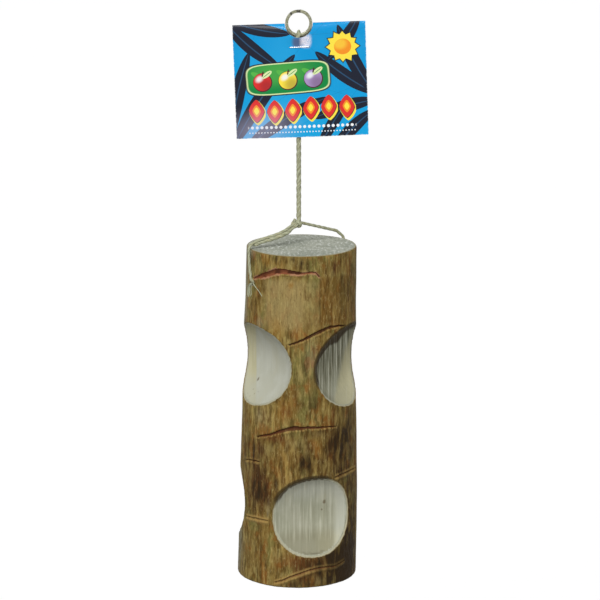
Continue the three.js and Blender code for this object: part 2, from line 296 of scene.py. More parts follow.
def grain(vector, across, along, seed=0.0):
    return useGroup(grainGroup, {"Vector": vector, "Across": across, "Along": along, "Seed": seed})[0]


# Mesh helpers
def shade(bm, sharp=None):  # smooth faces, with an edge kept where they meet at more than sharp degrees
    for face in bm.faces:
        face.smooth = True
    if sharp:
        for edge in bm.edges:
            edge.smooth = edge.calc_face_angle(0) < math.radians(sharp)


def meshOf(bm, name, sharp=None):
    shade(bm, sharp)
    mesh = bpy.data.meshes.new(name)
    bm.to_mesh(mesh)
    bm.free()
    return mesh


def opened(mesh):
    bm = bmesh.new()
    bm.from_mesh(mesh)
    return bm


def closeHoles(bm):
    bmesh.ops.holes_fill(bm, edges=[e for e in bm.edges if e.is_boundary], sides=0)
    bmesh.ops.recalc_face_normals(bm, faces=bm.faces)


def linked(name, data):
    made = bpy.data.objects.new(name, data)
    scene.collection.objects.link(made)
    return made


def finalMesh(holder):  # the mesh that an object shows, after which the object is dropped
    bpy.context.view_layer.update()
    made = bpy.data.meshes.new_from_object(holder.evaluated_get(bpy.context.evaluated_depsgraph_get()))
    bpy.data.objects.remove(holder)
    return made


def keepPiece(name, mesh, body, slotName, finishes, *nodes):
    piece = linked(name, mesh)
    finishAt = np.zeros(len(mesh.polygons), np.int32)
    mesh.polygons.foreach_get("material_index", finishAt)
    mesh.materials.clear()  # this also sets every face to the first finish
    for finish in finishes:
        mesh.materials.append(finish)
    mesh.polygons.foreach_set("material_index", np.minimum(finishAt, len(finishes) - 1))
    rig.ride(piece, body)
    if nodes:
        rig.replaces(piece, *nodes)
    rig.slot(piece, slotName)
    return piece


def paint(mesh, name, values):
    layer = mesh.attributes.new(name, "FLOAT", "POINT")
    layer.data.foreach_set("value", np.array(values, np.float32))


def wrapGrid(columns, rows, place):  # a capped tube: place(turn, level) with both from 0 to 1
    bm = bmesh.new()
    bmesh.ops.create_grid(bm, x_segments=columns, y_segments=rows, size=0.5)
    for v in bm.verts:
        v.co = place(v.co.x + 0.5, v.co.y + 0.5)
    bmesh.ops.remove_doubles(bm, verts=bm.verts, dist=1e-7)
    closeHoles(bm)
    return bm


def carve(name, mesh, cutters, solver="MANIFOLD"):  # mesh less each of the cutter meshes
    holder = linked(name, mesh)
    tools = [linked("cutter", cutter) for cutter in cutters]
    for tool in tools:
        cut = holder.modifiers.new("cut", "BOOLEAN")
        cut.operation = "DIFFERENCE"
        cut.solver = solver
        cut.object = tool
    made = finalMesh(holder)
    for tool in tools:
        bpy.data.objects.remove(tool)
    return made


# Camera at the photograph's angle
shot = {"at": (0.0008, -1.825, 0.2276), "pitch": 12.73, "lens": 175.26, "sensor": 36, "clip": (0.05, 50)}
cameraData = bpy.data.cameras.new("productCamera")
cameraData.lens = shot["lens"]
cameraData.sensor_width = shot["sensor"]
cameraData.clip_start, cameraData.clip_end = shot["clip"]
camera = linked("productCamera", cameraData)
camera.location = shot["at"]
camera.rotation_euler = (math.radians(90 - shot["pitch"]), 0, 0)
scene.camera = camera
print("camera set")

# Log form in millimetres, shared by the twine that lies on it
log = {
    "drop": 148.8, "height": 216.7, "topRadius": 35.35, "bottomRadius": 38.45,
    "topShift": 1.75, "bottomShift": -1.15, "waviness": 0.45,
    "holeDrop": 20.7, "holeDiameter": 4.6, "holeLeft": -60, "holeRight": 124, "holeGrid": (28, 40),
}


def axisShift(drop):
    return log["topShift"] + (log["bottomShift"] - log["topShift"]) * drop / log["height"]


def barkRadius(azimuth, drop):
    t = drop / log["height"]
    a = math.radians(azimuth)
    wave = 0.6 * math.sin(2 * a + 5 * t + 0.7) + 0.4 * math.sin(3 * a - 7 * t + 2.1)
    return log["topRadius"] + (log["bottomRadius"] - log["topRadius"]) * t + log["waviness"] * wave


def onBark(azimuth, drop, out):
    r = barkRadius(azimuth, drop) + out
    a = math.radians(azimuth)
    return Vector((axisShift(drop) + r * math.sin(a), -r * math.cos(a), -log["drop"] - drop)) * mm


def atLog(p):  # azimuth, drop and radius of a point, in degrees and millimetres
    drop = -p[2] / mm - log["drop"]
    x = p[0] / mm - axisShift(drop)
    y = p[1] / mm
    return math.degrees(math.atan2(x, -y)), drop, math.hypot(x, y)


# Twine: one length doubled over the ring, twisted, knotted and passed through the log
twine = {
    "diameter": 1.75, "ply": 9, "step": 0.34, "sides": 20, "lumps": 0.07, "lobe": 0.42, "lobeShift": 0.08,
    "creaseDepth": 0.088, "wireZ": -14.15, "bightRadius": 2.5, "bightFrom": 44, "bightOver": 76,
    "strandRadius": 0.55, "strandSize": 1.38, "pressed": 0.2, "gather": 7, "twist": 21.25,
    "knotZ": -133.85, "legSize": 1.15, "tailSize": 1.55, "rimLeft": -68, "rimRight": 132, "standOff": 1.0,
    "bend": 2.4, "kinkRadius": 30.3, "kinkRise": 5.4,
    # left leg and knot tail: distance out from the line and drop below the knot
    "leg": [(0.8, 0.2), (4.6, 1.7), (9.2, 4.5), (14.7, 6.6), (20.2, 7.9), (25.7, 9.2), (30.4, 10.7),
            (33.3, 12.6)],
    "tail": [(1.6, 1.2), (4.2, 3.4), (6.6, 5.4), (9.4, 6.7), (14.7, 8.4), (20.2, 9.7), (25.7, 11.0),
             (30.6, 12.5)],
}


def resample(route, step):
    points = np.array([list(p) for p in route], float)
    run = np.concatenate([[0], np.cumsum(np.linalg.norm(np.diff(points, axis=0), axis=1))])
    count = max(2, round(run[-1] / step))
    at = np.linspace(0, run[-1], count + 1)
    return np.stack([np.interp(at, run, points[:, k]) for k in range(3)], 1), run[-1]


def flowing(places, steps=8):  # smooth curve through the places
    ends = [places[0] * 2 - places[1], *places, places[-1] * 2 - places[-2]]
    route = [places[0].copy()]
    for a, b, c, d in zip(ends, ends[1:], ends[2:], ends[3:]):
        for k in range(1, steps + 1):
            t = k / steps
            route.append(b + (c - a) * (t / 2) + (a * 2 - b * 5 + c * 4 - d) * (t * t / 2)
                         + (b * 3 - a - c * 3 + d) * (t**3 / 2))
    return route


def roundedRoute(corners, bend, arcSteps=8):
    route = [corners[0].copy()]
    for before, corner, after in zip(corners, corners[1:], corners[2:]):
        back = (before - corner).normalized()
        ahead = (after - corner).normalized()
        half = back.angle(ahead) / 2
        reach = min(bend / math.tan(half), (before - corner).length * 0.48, (after - corner).length * 0.48)
        hub = corner + (back + ahead).normalized() * (reach / math.cos(half))
        spokeA = corner + back * reach - hub
        spokeB = corner + ahead * reach - hub
        for k in range(arcSteps + 1):
            route.append(hub + spokeA.normalized().slerp(spokeB.normalized(), k / arcSteps) * spokeA.length)
    route.append(corners[-1].copy())
    return route


def flatSection(name, outline):  # closed outline that a sweep follows
    curve = bpy.data.curves.new(name, "CURVE")
    curve.dimensions = "2D"
    spline = curve.splines.new("POLY")
    spline.points.add(len(outline) - 1)
    for point, (x, y) in zip(spline.points, outline):
        point.co = (x, y, 0, 1)
    spline.use_cyclic_u = True
    return linked(name, curve)


def sweep(name, route, section, tilts, sizes):
    curve = bpy.data.curves.new(name, "CURVE")
    curve.dimensions = "3D"
    curve.bevel_mode = "OBJECT"
    curve.bevel_object = section
    spline = curve.splines.new("POLY")
    spline.points.add(len(route) - 1)
    for point, at, tilt, size in zip(spline.points, route, tilts, sizes):
        point.co = (*at, 1)
        point.tilt = tilt
        point.radius = size
    return finalMesh(linked(name, curve))


def addHairs(bm, hairs):  # root, direction, length and thickness of each
    for root, way, long, thick in hairs:
        turn = way.to_track_quat("Z", "Y").to_matrix().to_4x4()
        bmesh.ops.create_cone(bm, cap_ends=True, segments=3, radius1=thick, radius2=thick * 0.2, depth=long,
                              matrix=Matrix.Translation(root + way * long * 0.45) @ turn)


def closeEnds(mesh, sharp=None, hairs=()):
    bm = opened(mesh)
    closeHoles(bm)
    addHairs(bm, hairs)
    shade(bm, sharp)
    bm.to_mesh(mesh)
    bm.free()
    return mesh


# Twine finish: pale dry fibres laid along each ply, with painted shade in the creases between the plies
twineFinish, shader = newFinish("naturalTwine", {"Roughness": 0.82, "Specular IOR Level": 0.1})
lay = painted("fibreAt", "Vector")
hairs = grain(lay, 5.5, 170, 3)
patches = grain(lay, 0.6, 60, 11)
color = blendColor(spread(hairs, 0.36, 0.64), tint(134, 136, 110), tint(189, 191, 163))
color = layTones(color, [
    (spread(patches, 0.5, 0.72, 0, 0.5), (168, 158, 114)),
    # painted shade in the creases between the plies
    (mask("paintedShade", 0.35, 1, 0, 0.4), (110, 104, 74)),
])
feed(shader, {"Base Color": color})
joinBump(shader, hairs, 0.25, 0.8)

plyOutline = []
plyShade = []
for k in range(twine["sides"]):
    a = 2 * math.pi * k / twine["sides"]
    bite = math.sqrt(twine["lobe"] ** 2 - (twine["lobeShift"] * math.sin(a)) ** 2)
    r = twine["lobeShift"] * abs(math.cos(a)) + bite
    plyOutline.append((r * math.cos(a), r * math.sin(a)))
    # how deep each side of the ply sits in the crease, kept as painted shade
    plyShade.append((0.5 - r) / twine["creaseDepth"])
plySection = flatSection("plySection", plyOutline)


# Two-ply twine along a route, with so many loose hairs per millimetre
def yarn(name, route, size=1.0, endSize=1.0, fuzz=0.25, lift=1.0):
    points, length = resample(route, twine["step"] * mm)
    last = len(points) - 1
    run = length / last
    turn = 2 * math.pi / (twine["ply"] * mm)
    sizes = []
    for i, p in enumerate(points):
        lump = 1 + twine["lumps"] * noise.noise(Vector(p) * 330)
        ends = smooth(min(i, last - i) * run / (1.5 * mm))
        sizes.append(twine["diameter"] * mm * size * lump * (endSize + (1 - endSize) * ends))
    mesh = sweep(name, points, plySection, [turn * run * i for i in range(last + 1)], sizes)
    sides = twine["sides"]
    places = []
    for i in range(last + 1):
        for k in range(sides):
            a = 2 * math.pi * k / sides
            places.append((math.cos(a), math.sin(a), i * run))
    layer = mesh.attributes.new("fibreAt", "FLOAT_VECTOR", "POINT")
    layer.data.foreach_set("vector", np.array(places, np.float32).ravel())
    paint(mesh, "paintedShade", plyShade * (last + 1))
    loose = []
    for k in range(round(length / mm * fuzz)):
        i = min(last - 1, int(draw.random() * last))
        way = (Vector(points[i + 1]) - Vector(points[i])).normalized()
        aside = way.orthogonal().normalized()
        aside.rotate(Quaternion(way, draw.random() * 2 * math.pi))
        root = Vector(points[i]) + aside * sizes[i] * 0.36
        lean = way * draw.choice((-1, 1)) + aside * lift * (0.25 + 0.5 * draw.random())
        long = (0.9 + 1.6 * draw.random()) * mm
        loose.append((root, lean.normalized(), long, (0.03 + 0.03 * draw.random()) * mm))
    return closeEnds(mesh, hairs=loose), points, length


def pressFlat(mesh, points):  # the two strands flatten against each other across the line
    sides = twine["sides"]
    for i, p in enumerate(points):
        out = Vector((p[0], p[1], 0)).normalized()
        around = Vector((-out.y, out.x, 0))
        for v in mesh.vertices[i * sides:(i + 1) * sides]:
            off = v.co - Vector(p)
            v.co += (around * off.dot(around) - out * off.dot(out)) * twine["pressed"]


def bightPoint(degrees):  # on the arc over the ring's lower wire
    a = math.radians(degrees)
    return Vector((0, twine["bightRadius"] * math.sin(a), wireZ + twine["bightRadius"] * math.cos(a))) * mm


wireZ, knotZ = twine["wireZ"], twine["knotZ"]
strandThick = twine["diameter"] * twine["strandSize"] * mm
for name, node, side in (("twineStrandA", "twine_strand_a", -1), ("twineStrandB", "twine_strand_b", 1)):
    rest = 90 - twine["bightFrom"]
    route = [bightPoint(side * (twine["bightFrom"] + rest * k / 8)) for k in range(9)]
    run = wireZ - knotZ + 1.2
    for k in range(1, 301):
        drop = run * k / 300
        splay = twine["bightRadius"] - twine["strandRadius"]
        r = twine["strandRadius"] + splay * (1 - smooth(drop / twine["gather"]))
        a = math.radians(side * 90 - 360 * drop / twine["twist"])
        route.append(Vector((r * math.cos(a), r * math.sin(a), wireZ - drop)) * mm)
    mesh, points, length = yarn(name, route, size=twine["strandSize"], endSize=0.8, lift=0.33)
    pressFlat(mesh, points)
    strand = keepPiece(name, mesh, "line", "twine", [twineFinish], node)
    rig.cord(strand, exit=points[0], length=length, diameter=strandThick, far_end="object",
            stiffness="limp", lay="taut", path=points[::3])

route = [bightPoint(twine["bightOver"] * (k / 12 - 1)) for k in range(25)]
mesh = yarn("twineOverRing", route, size=1.05, endSize=0.85)[0]
keepPiece("twineOverRing", mesh, "bight", "twine", [twineFinish], "ring_bight")

# Knot: an overhand turn pulled tight, left of the line
knot = {"spread": 0.92, "tall": 1.12, "deep": 1.05, "shift": -1.5, "drop": 0.6}
route = []
for k in range(121):
    t = math.pi * (1.1 + 1.8 * k / 120)
    x = (math.sin(t) + 2 * math.sin(2 * t)) * knot["spread"] + knot["shift"]
    y = math.cos(t) - 2 * math.cos(2 * t)
    z = knotZ - knot["drop"] - y * knot["tall"]
    route.append(Vector((x, -math.sin(3 * t) * knot["deep"], z)) * mm)
mesh = yarn("bridleKnot", route, size=1.25, endSize=0.7)[0]
keepPiece("bridleKnot", mesh, "knot", "twine", [twineFinish], "bridle_knot")

# Bridle legs over the rim, down the bark and through the cross hole
knotAt = Vector((0, 0, knotZ)) * mm
leftWay = onBark(twine["rimLeft"], 0, twine["standOff"]) - knotAt
leftWay.z = 0
leftWay.normalize()
kinkTurn = math.radians(twine["rimRight"])
kink = Vector((
    log["topShift"] + twine["kinkRadius"] * math.sin(kinkTurn),
    -twine["kinkRadius"] * math.cos(kinkTurn),
    twine["kinkRise"] - log["drop"],
)) * mm
rightAway = (kink - knotAt).normalized()
throughDrop = log["holeDrop"] - 0.3
legSize, tailSize = twine["legSize"], twine["tailSize"]


def outLeft(away, drop):
    return knotAt + (leftWay * away - Vector((0, 0, drop))) * mm


leg = [outLeft(*p) for p in twine["leg"]]
for azimuth, drop in ((0.4, 0.6), (1.2, 6), (3.4, 12.5)):
    leg.append(onBark(twine["rimLeft"] + azimuth, drop, twine["standOff"]))
leg = flowing(leg)
corners = [
    leg[-1],
    onBark(log["holeLeft"], throughDrop, twine["standOff"]),
    onBark(log["holeRight"], throughDrop, twine["standOff"]),
    onBark(twine["rimRight"], -0.9, twine["standOff"]),
    kink,
    knotAt + rightAway * 0.6 * mm,
]
route = leg[:-1] + roundedRoute(corners, twine["bend"] * mm)
mesh, points, length = yarn("bridleTwine", route, size=legSize, endSize=0.8)
bridle = keepPiece("bridleTwine", mesh, "log", "twine", [twineFinish], "bridle_twine")
# Loose threads at the hole: azimuth and drop along each
threads = [
    [(-61.5, 21), (-66, 23), (-65.6, 26.5), (-63.6, 30)],
    [(-61.5, 21), (-62.6, 24.4), (-61.4, 29)],
    [(-62, 21), (-69.4, 23.4), (-71.4, 27), (-70.6, 30.4)],
    [(-62, 21.2), (-68, 24), (-69, 27.6), (-69.2, 31.2)],
    [(-62, 21.4), (-66.6, 24.4), (-66.8, 28), (-67.2, 30.6)],
    [(-59, 20.6), (-54, 22.6), (-48, 24.8), (-43.2, 27.6)],
]
thread = {"standOff": 0.35, "step": 0.3, "diameter": 0.68, "taper": 0.4}
bm = bmesh.new()
for spots in threads:
    route = flowing([onBark(a, d, thread["standOff"]) for a, d in spots])
    strand = resample(route, thread["step"] * mm)[0]
    thin = [thread["diameter"] * mm * (1 - thread["taper"] * k / len(strand)) for k in range(len(strand))]
    bm.from_mesh(closeEnds(sweep("looseThread", strand, plySection, [0] * len(strand), thin)))
loose = keepPiece("looseThreads", meshOf(bm, "looseThreads"), "log", "twine", [twineFinish])
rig.cord(bridle, exit=points[0], length=length, diameter=legSize * twine["diameter"] * mm, far_end="object",
        stiffness="limp", lay="taut", path=points[::3], with_pieces=[loose])

beside = leftWay.cross(Vector((0, 0, 1))) * mm
route = []
for k, (away, drop) in enumerate(twine["tail"]):
    route.append(outLeft(away, drop) + beside * 0.4 * math.sin(1.3 * k))
mesh, points, length = yarn("knotTail", flowing(route), size=tailSize, endSize=0.8, fuzz=0.5)
tail = keepPiece("knotTail", mesh, "log", "twine", [twineFinish], "knot_tail")
way = (Vector(points[-1]) - Vector(points[-4])).normalized()
frayed = {"hairs": 26, "root": 0.6, "splay": 0.45, "shortest": 1.6, "longer": 2.4, "diameter": 0.1}
brush = []
for k in range(frayed["hairs"]):
    aside = way.orthogonal().normalized()
    aside.rotate(Quaternion(way, draw.random() * 2 * math.pi))
    root = Vector(points[-1]) + (aside * frayed["root"] * draw.random() - way * frayed["root"]) * mm
    lean = (way + aside * frayed["splay"] * draw.random()).normalized()
    long = (frayed["shortest"] + frayed["longer"] * draw.random()) * mm
    brush.append((root, lean, long, frayed["diameter"] * mm))
bm = bmesh.new()
addHairs(bm, brush)
fray = keepPiece("tailFray", meshOf(bm, "tailFray"), "log", "twine", [twineFinish])
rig.cord(tail, exit=points[0], length=length, diameter=tailSize * twine["diameter"] * mm, far_end="bare",
        stiffness="limp", lay="taut", path=points[::3], with_pieces=[fray])
print("twine made")

# Scoops ground across the log by a drum, and how much painted shadow each rim gets, on which side and how far round
scoopHeight, drumLength, drumGrid, scoopTurn = 52.5, 86, (170, 120), 62
scoopKeys = ("azimuth", "drop", "depth", "dish", "fibres", "shade", "shadeTurn", "shadeFrom")
scoops = [dict(zip(scoopKeys, row)) for row in (
    (-59.4, 73, 13.6, 1.2, 0.02, 0, 90, 0.3),
    (64.5, 74.7, 12, 3.2, 0.16, 1, 125, 0.05),
    (182.5, 73.7, 12.5, 1.4, 0.08, 0.7, 70, 0.3),
    (17, 170.2, 9.9, 1.6, 0.06, 1, 114, 0.5),
    (-110, 166.7, 11, 1.4, 0.08, 0.7, 110, 0.3),
    (143, 170.2, 11, 1.4, 0.08, 0.8, 60, 0.3),
)]
leftScoop, rightScoop, frontScoop = 0, 1, 3
for scoop in scoops:
    a = math.radians(scoop["azimuth"])
    scoop["drum"] = ((scoopHeight / 2) ** 2 + scoop["depth"] ** 2) / (2 * scoop["depth"])
    scoop["hub"] = onBark(scoop["azimuth"], scoop["drop"], scoop["drum"] - scoop["depth"])
    scoop["outward"] = Vector((math.sin(a), -math.cos(a), 0))
# Leaf scars: how red inside, how pale their lips, how folded, and azimuth, drop and half gape along each
scars = [
    (1.0, 0.9, 0.0, [(-60.7, 18.1, 0.2), (-46.2, 15, 1.3), (-34.4, 12.4, 1.6), (-27.1, 10.4, 1.5),
                     (-18.5, 9.9, 1.4), (-6, 10.5, 0.9), (2.6, 11, 0.5), (9.5, 10.3, 0.45),
                     (14.8, 10.8, 0.45), (19, 13.5, 0.4), (20.6, 16, 0.25)]),
    (0.2, 0.7, 0.3, [(-13.2, 57.3, 0.35), (-5, 55.7, 0.55), (3.5, 53.4, 0.65), (12, 50.8, 0.85),
                     (19.1, 48.9, 0.95), (30.5, 46.5, 0.75), (41.5, 46.6, 0.55), (53.7, 47.7, 0.25)]),
    (0.4, 0.8, 0.2, [(-47.5, 120.2, 0.3), (-40.6, 118.3, 0.5), (-28.5, 116.2, 0.65), (-21.1, 114, 0.85),
                     (-12.4, 112.2, 1.05), (-3.8, 110.9, 1.3), (1.3, 111.3, 0.95), (9, 110.7, 0.75),
                     (22.3, 111.4, 0.6), (30, 111.4, 0.4), (42, 112.4, 0.2)]),
    (0.3, 0.8, 0.9, [(37.8, 145.9, 0.4), (49.4, 144.8, 0.5), (64.7, 144.3, 0.4), (77, 144.9, 0.2)]),
    (0.1, 1.0, 1.0, [(-62, 174.7, 0.35), (-44.4, 173.6, 0.4), (-28.7, 173.7, 0.3)]),
    (0.35, 0.95, 0.9, [(-24.5, 214.4, 0.3), (-13.4, 211.9, 0.45), (-5.9, 209.3, 0.55), (2.3, 207.3, 0.55),
                       (10.6, 205.4, 0.5), (20, 204.3, 0.45), (29.1, 204.2, 0.4), (39.2, 204.9, 0.35),
                       (53.9, 202.5, 0.2)]),
    (0.2, 0.9, 0.6, [(-66, 137.6, 0.2), (-55.8, 136.2, 0.35), (-47.8, 135.7, 0.35), (-39.7, 135.4, 0.2)]),
    (0.7, 0.6, 0.3, [(100, 122.2, 0.3), (118, 119.2, 0.9), (140, 120.7, 0.8), (163, 117.2, 0.3)]),
    (0.8, 0.6, 0.2, [(150, 25.2, 0.3), (172, 21.7, 0.9), (195, 23.2, 1.0), (215, 20.2, 0.3)]),
]
bark = {
    "columns": 300, "thickness": 1.3, "scarDepth": 1.0, "fineRow": 0.45, "coarseRow": 1.2, "ragged": 0.5,
    "seam": 19.4, "gape": 1.2, "sharp": 42, "innerGrid": (96, 40),
}


def fibreRelief(azimuth, drop):
    a = math.radians(azimuth)
    x, y = 36 * math.cos(a), 36 * math.sin(a)
    ridges = wavy(x * 0.55, y * 0.55, drop * 0.05)
    ribs = wavy(x * 0.2, y * 0.2, drop * 0.022 + 9)
    lumps = wavy(x * 0.07, y * 0.07, drop * 0.045 + 31)
    return 0.2 * ridges + 0.14 * ribs + 0.3 * lumps


# Height, redness, pale lip, pink lip and painted shadow in the slit that the scars give a place on the bark
def scarAt(azimuth, drop):
    height, red, lip, pink, dark = 0.0, 0.0, 0.0, 0.0, 0.0
    for redness, paleness, fold, points in scars:
        turn = azimuth
        while turn < points[0][0] - 20:
            turn += 360
        if turn > points[-1][0] or turn < points[0][0]:
            continue
        for (a0, d0, g0), (a1, d1, g1) in zip(points, points[1:]):
            if a0 <= turn <= a1:
                t = (turn - a0) / (a1 - a0)
                rough = wavy(turn * 0.5, points[0][1] * 0.3, 3)
                middle = d0 + (d1 - d0) * t + 0.12 * rough
                ends = min(smooth((turn - points[0][0]) / 2.5), smooth((points[-1][0] - turn) / 2.5))
                gape = bark["gape"] * (g0 + (g1 - g0) * t) * (1 + 0.3 * rough) * ends + 0.05
                below = drop - middle
                break
        lower, upper = below - gape, below + gape
        inside = max(0.0, 1 - (below / gape) ** 2)
        floor = smooth(inside * 2.2) * (0.55 + 0.45 * smooth((gape - below) / (2 * gape)))
        broken = max(0.8 * fold, smooth(0.55 + 1.1 * wavy(turn * 0.9, points[0][1], 17)))
        height -= bark["scarDepth"] * floor * ends
        height += ends * (0.36 * broken * bell((lower - 0.6) / 0.7) + 0.2 * bell((upper + 0.6) / 0.9))
        height += ends * fold * (0.5 * bell((lower - 1) / 1.1) + 0.25 * bell((upper + 0.9) / 1))
        red = max(red, redness * smooth(inside * 3) * ends)
        lipWidth = 0.95 - 0.2 * redness + 1.1 * fold
        lip = max(
            lip,
            paleness * broken * ends * bell((lower - 0.3) / lipWidth),
            0.8 * fold * ends * bell((upper + 0.8) / 1.1),
            0.5 * redness * broken * ends * bell((upper + 0.35) / 0.5),
        )
        flesh = redness**2 * ends
        pinkAbove = smooth(0.45 + 1.6 * wavy(turn * 0.08, 2, 6)) * bell((upper + 0.1) / 0.6)
        pinkBelow = smooth(0.65 + 1.4 * wavy(turn * 0.09, 5, 1)) * bell((lower - 0.2) / 0.7)
        pink = max(pink, flesh * pinkAbove, flesh * pinkBelow)
        # painted shadow: darkest under the overhanging upper edge of each slit, with a darker core in the red ones
        near = 0.4 * bell(below / (1.6 * gape))
        under = smooth(inside * 3 + near) * smooth((0.65 * gape - below) / (0.8 * gape)) * (1 - 0.5 * redness)
        core = smooth(2.2 * inside - 0.6) * smooth(0.5 + 1.6 * wavy(turn * 0.07, 9, 4))
        slit = ends * (1 - 0.5 * fold)
        dark = max(dark, slit * under, ends * redness * core, slit * (1 - redness) * smooth(inside * 3))
    return height, red, lip, pink, dark


def seamAt(drop):
    return bark["seam"] + 0.7 * wavy(drop * 0.12, 5, 2)


def peelStep(azimuth, drop):  # edge of the peeled skin right of the middle: higher on its left
    within = between(drop, 13, 3, 45, 6)
    return within * 0.4 * smooth((seamAt(drop) - azimuth) / 1.2) * smooth((azimuth + 10) / 26)


fineRows = []
for redness, paleness, fold, points in scars:
    drops = [p[1] for p in points]
    fineRows.append((min(drops) - 2.5, max(drops) + 3))
levels = [0.0, 0.25, 0.5]
while levels[-1] < log["height"] - 0.6:
    here = levels[-1]
    fine = any(low <= here <= high for low, high in fineRows)
    levels.append(here + (bark["fineRow"] if fine else bark["coarseRow"]))
levels[-1] = log["height"] - 0.5
levels += [log["height"] - 0.25, log["height"]]


def barkPlace(turn, level):
    azimuth = 360 * turn - 180
    drop = levels[round((1 - level) * (len(levels) - 1))]
    height = fibreRelief(azimuth, drop) + scarAt(azimuth, drop)[0] + peelStep(azimuth, drop)
    ends = 0.6 * bell(drop / 0.4) + 0.6 * bell((log["height"] - drop) / 0.4)
    return onBark(azimuth, drop, height - ends)


def plainPlace(inset, overrun):
    def place(turn, level):
        drop = (1 - level) * (log["height"] + 2 * overrun) - overrun
        return onBark(360 * turn - 180, drop, -inset)

    return place


# A drum whose skin carries the fibres it met. The bark tears back a little further
def scoopCutter(scoop, ragged):
    drum, hub, outward = scoop["drum"], scoop["hub"], scoop["outward"]
    along = Vector((-outward.y, outward.x, 0))

    def place(turn, level):
        angle = 2 * math.pi * turn
        across = (level - 0.5) * drumLength
        p = outward * drum * math.cos(angle) + Vector((0, 0, drum * math.sin(angle))) + along * across
        p = hub + p * mm
        fibres = wavy(p.x * 900, p.y * 900, p.z * 45)
        swell = wavy(p.x * 110, p.y * 110, p.z * 40 + 7)
        azimuth, drop, radius = atLog(p)
        sunk = barkRadius(azimuth, drop) - radius
        grow = scoop["fibres"] * fibres + 0.08 * swell
        grow += scoop["dish"] * (0.6 * max(0, sunk) / scoop["depth"] + 0.4 * smooth(sunk / 5))
        if ragged:
            grow += bark["ragged"] * (0.5 + 0.6 * noise.noise(p * 420) + 0.5 * noise.noise(p * 1300))
        return p + (outward * math.cos(angle) + Vector((0, 0, math.sin(angle)))) * grow * mm

    return meshOf(wrapGrid(*drumGrid, place), "scoopCutter")


def holeCutter():
    left = onBark(log["holeLeft"], log["holeDrop"], 8)
    right = onBark(log["holeRight"], log["holeDrop"], 8)
    way = (right - left).normalized()
    sideways = way.cross(Vector((0, 0, 1))).normalized()
    upward = sideways.cross(way)

    def place(turn, level):
        a = 2 * math.pi * turn
        uneven = 0.05 * wavy(3 * math.cos(a), 3 * math.sin(a), 9 * level)
        r = log["holeDiameter"] / 2 * mm * (1 + uneven)
        return left.lerp(right, level) + (sideways * math.cos(a) + upward * math.sin(a)) * r

    return meshOf(wrapGrid(*log["holeGrid"], place), "holeCutter")


# Wood core with sawn ends
wood = {"columns": 128, "rows": 70, "ringStep": 2.6, "rings": 12, "sharp": 38}
bm = wrapGrid(wood["columns"], wood["rows"], plainPlace(bark["thickness"] - 0.02, 0))
ends = [f for f in bm.faces if len(f.verts) > 8]
for step in [0.5] + [wood["ringStep"]] * wood["rings"]:
    for end in list(ends):
        bmesh.ops.inset_region(bm, faces=[end], thickness=step * mm, use_even_offset=True)
for v in bm.verts:
    azimuth, drop, radius = atLog(v.co)
    up = abs(drop) < 0.01
    if up or abs(drop - log["height"]) < 0.01:
        rough = 0.16 * noise.noise(v.co * 420) + 0.14 * wavy(v.co.x * 90, v.co.y * 260, 4)
        v.co.z += (rough - 0.06) * mm * (1 if up else -1)
bmesh.ops.recalc_face_normals(bm, faces=bm.faces)
coreMesh = carve("woodCore", meshOf(bm, "woodCore"), [scoopCutter(s, False) for s in scoops] + [holeCutter()])
bm = opened(coreMesh)
for face in bm.faces:
    level = abs(atLog(face.calc_center_median())[1] - log["height"] / 2)
    face.material_index = 1 if abs(face.normal.z) > 0.85 and level > log["height"] / 2 - 1.5 else 0
coreMesh = meshOf(bm, "woodCore", wood["sharp"])

# Bark skin between the scoops
skinMesh = meshOf(wrapGrid(bark["columns"], len(levels) - 1, barkPlace), "barkSkin")
inner = meshOf(wrapGrid(*bark["innerGrid"], plainPlace(bark["thickness"], 2)), "barkInner")
barkMesh = carve("barkSkin", skinMesh, [inner] + [scoopCutter(s, True) for s in scoops] + [holeCutter()])
barkMesh = meshOf(opened(barkMesh), "barkSkin", bark["sharp"])
print("log carved:", len(coreMesh.polygons), "wood faces,", len(barkMesh.polygons), "bark faces")


def turnFrom(azimuth, start):
    return (azimuth - start + 180) % 360 - 180


# Painted shadow: each scoop's rim is darkened on the side that shadeTurn points to
def rimShade(scoop, azimuth, drop):  # how far a place lies on the side of the scoop where the rim is dark
    off = turnFrom(azimuth, scoop["azimuth"])
    if abs(off) > scoopTurn or abs(drop - scoop["drop"]) > 34:
        return 0.0
    way = math.atan2(scoop["drop"] - drop, barkRadius(azimuth, drop) * math.sin(math.radians(off)))
    facing = math.cos(way - math.radians(scoop["shadeTurn"]))
    return scoop["shade"] * smooth((facing - scoop["shadeFrom"]) / 0.4)


# Where the ground wood is creamy (partly a painted highlight), in painted shade, streaky, bleached (with painted
# highlights), in painted shadow by the rim, or knotty
woodLayers = {"creamAndHighlight": [], "scoopShade": [], "streaky": [], "bleachAndHighlight": [], "paintedRimShadow": [], "knotMark": []}
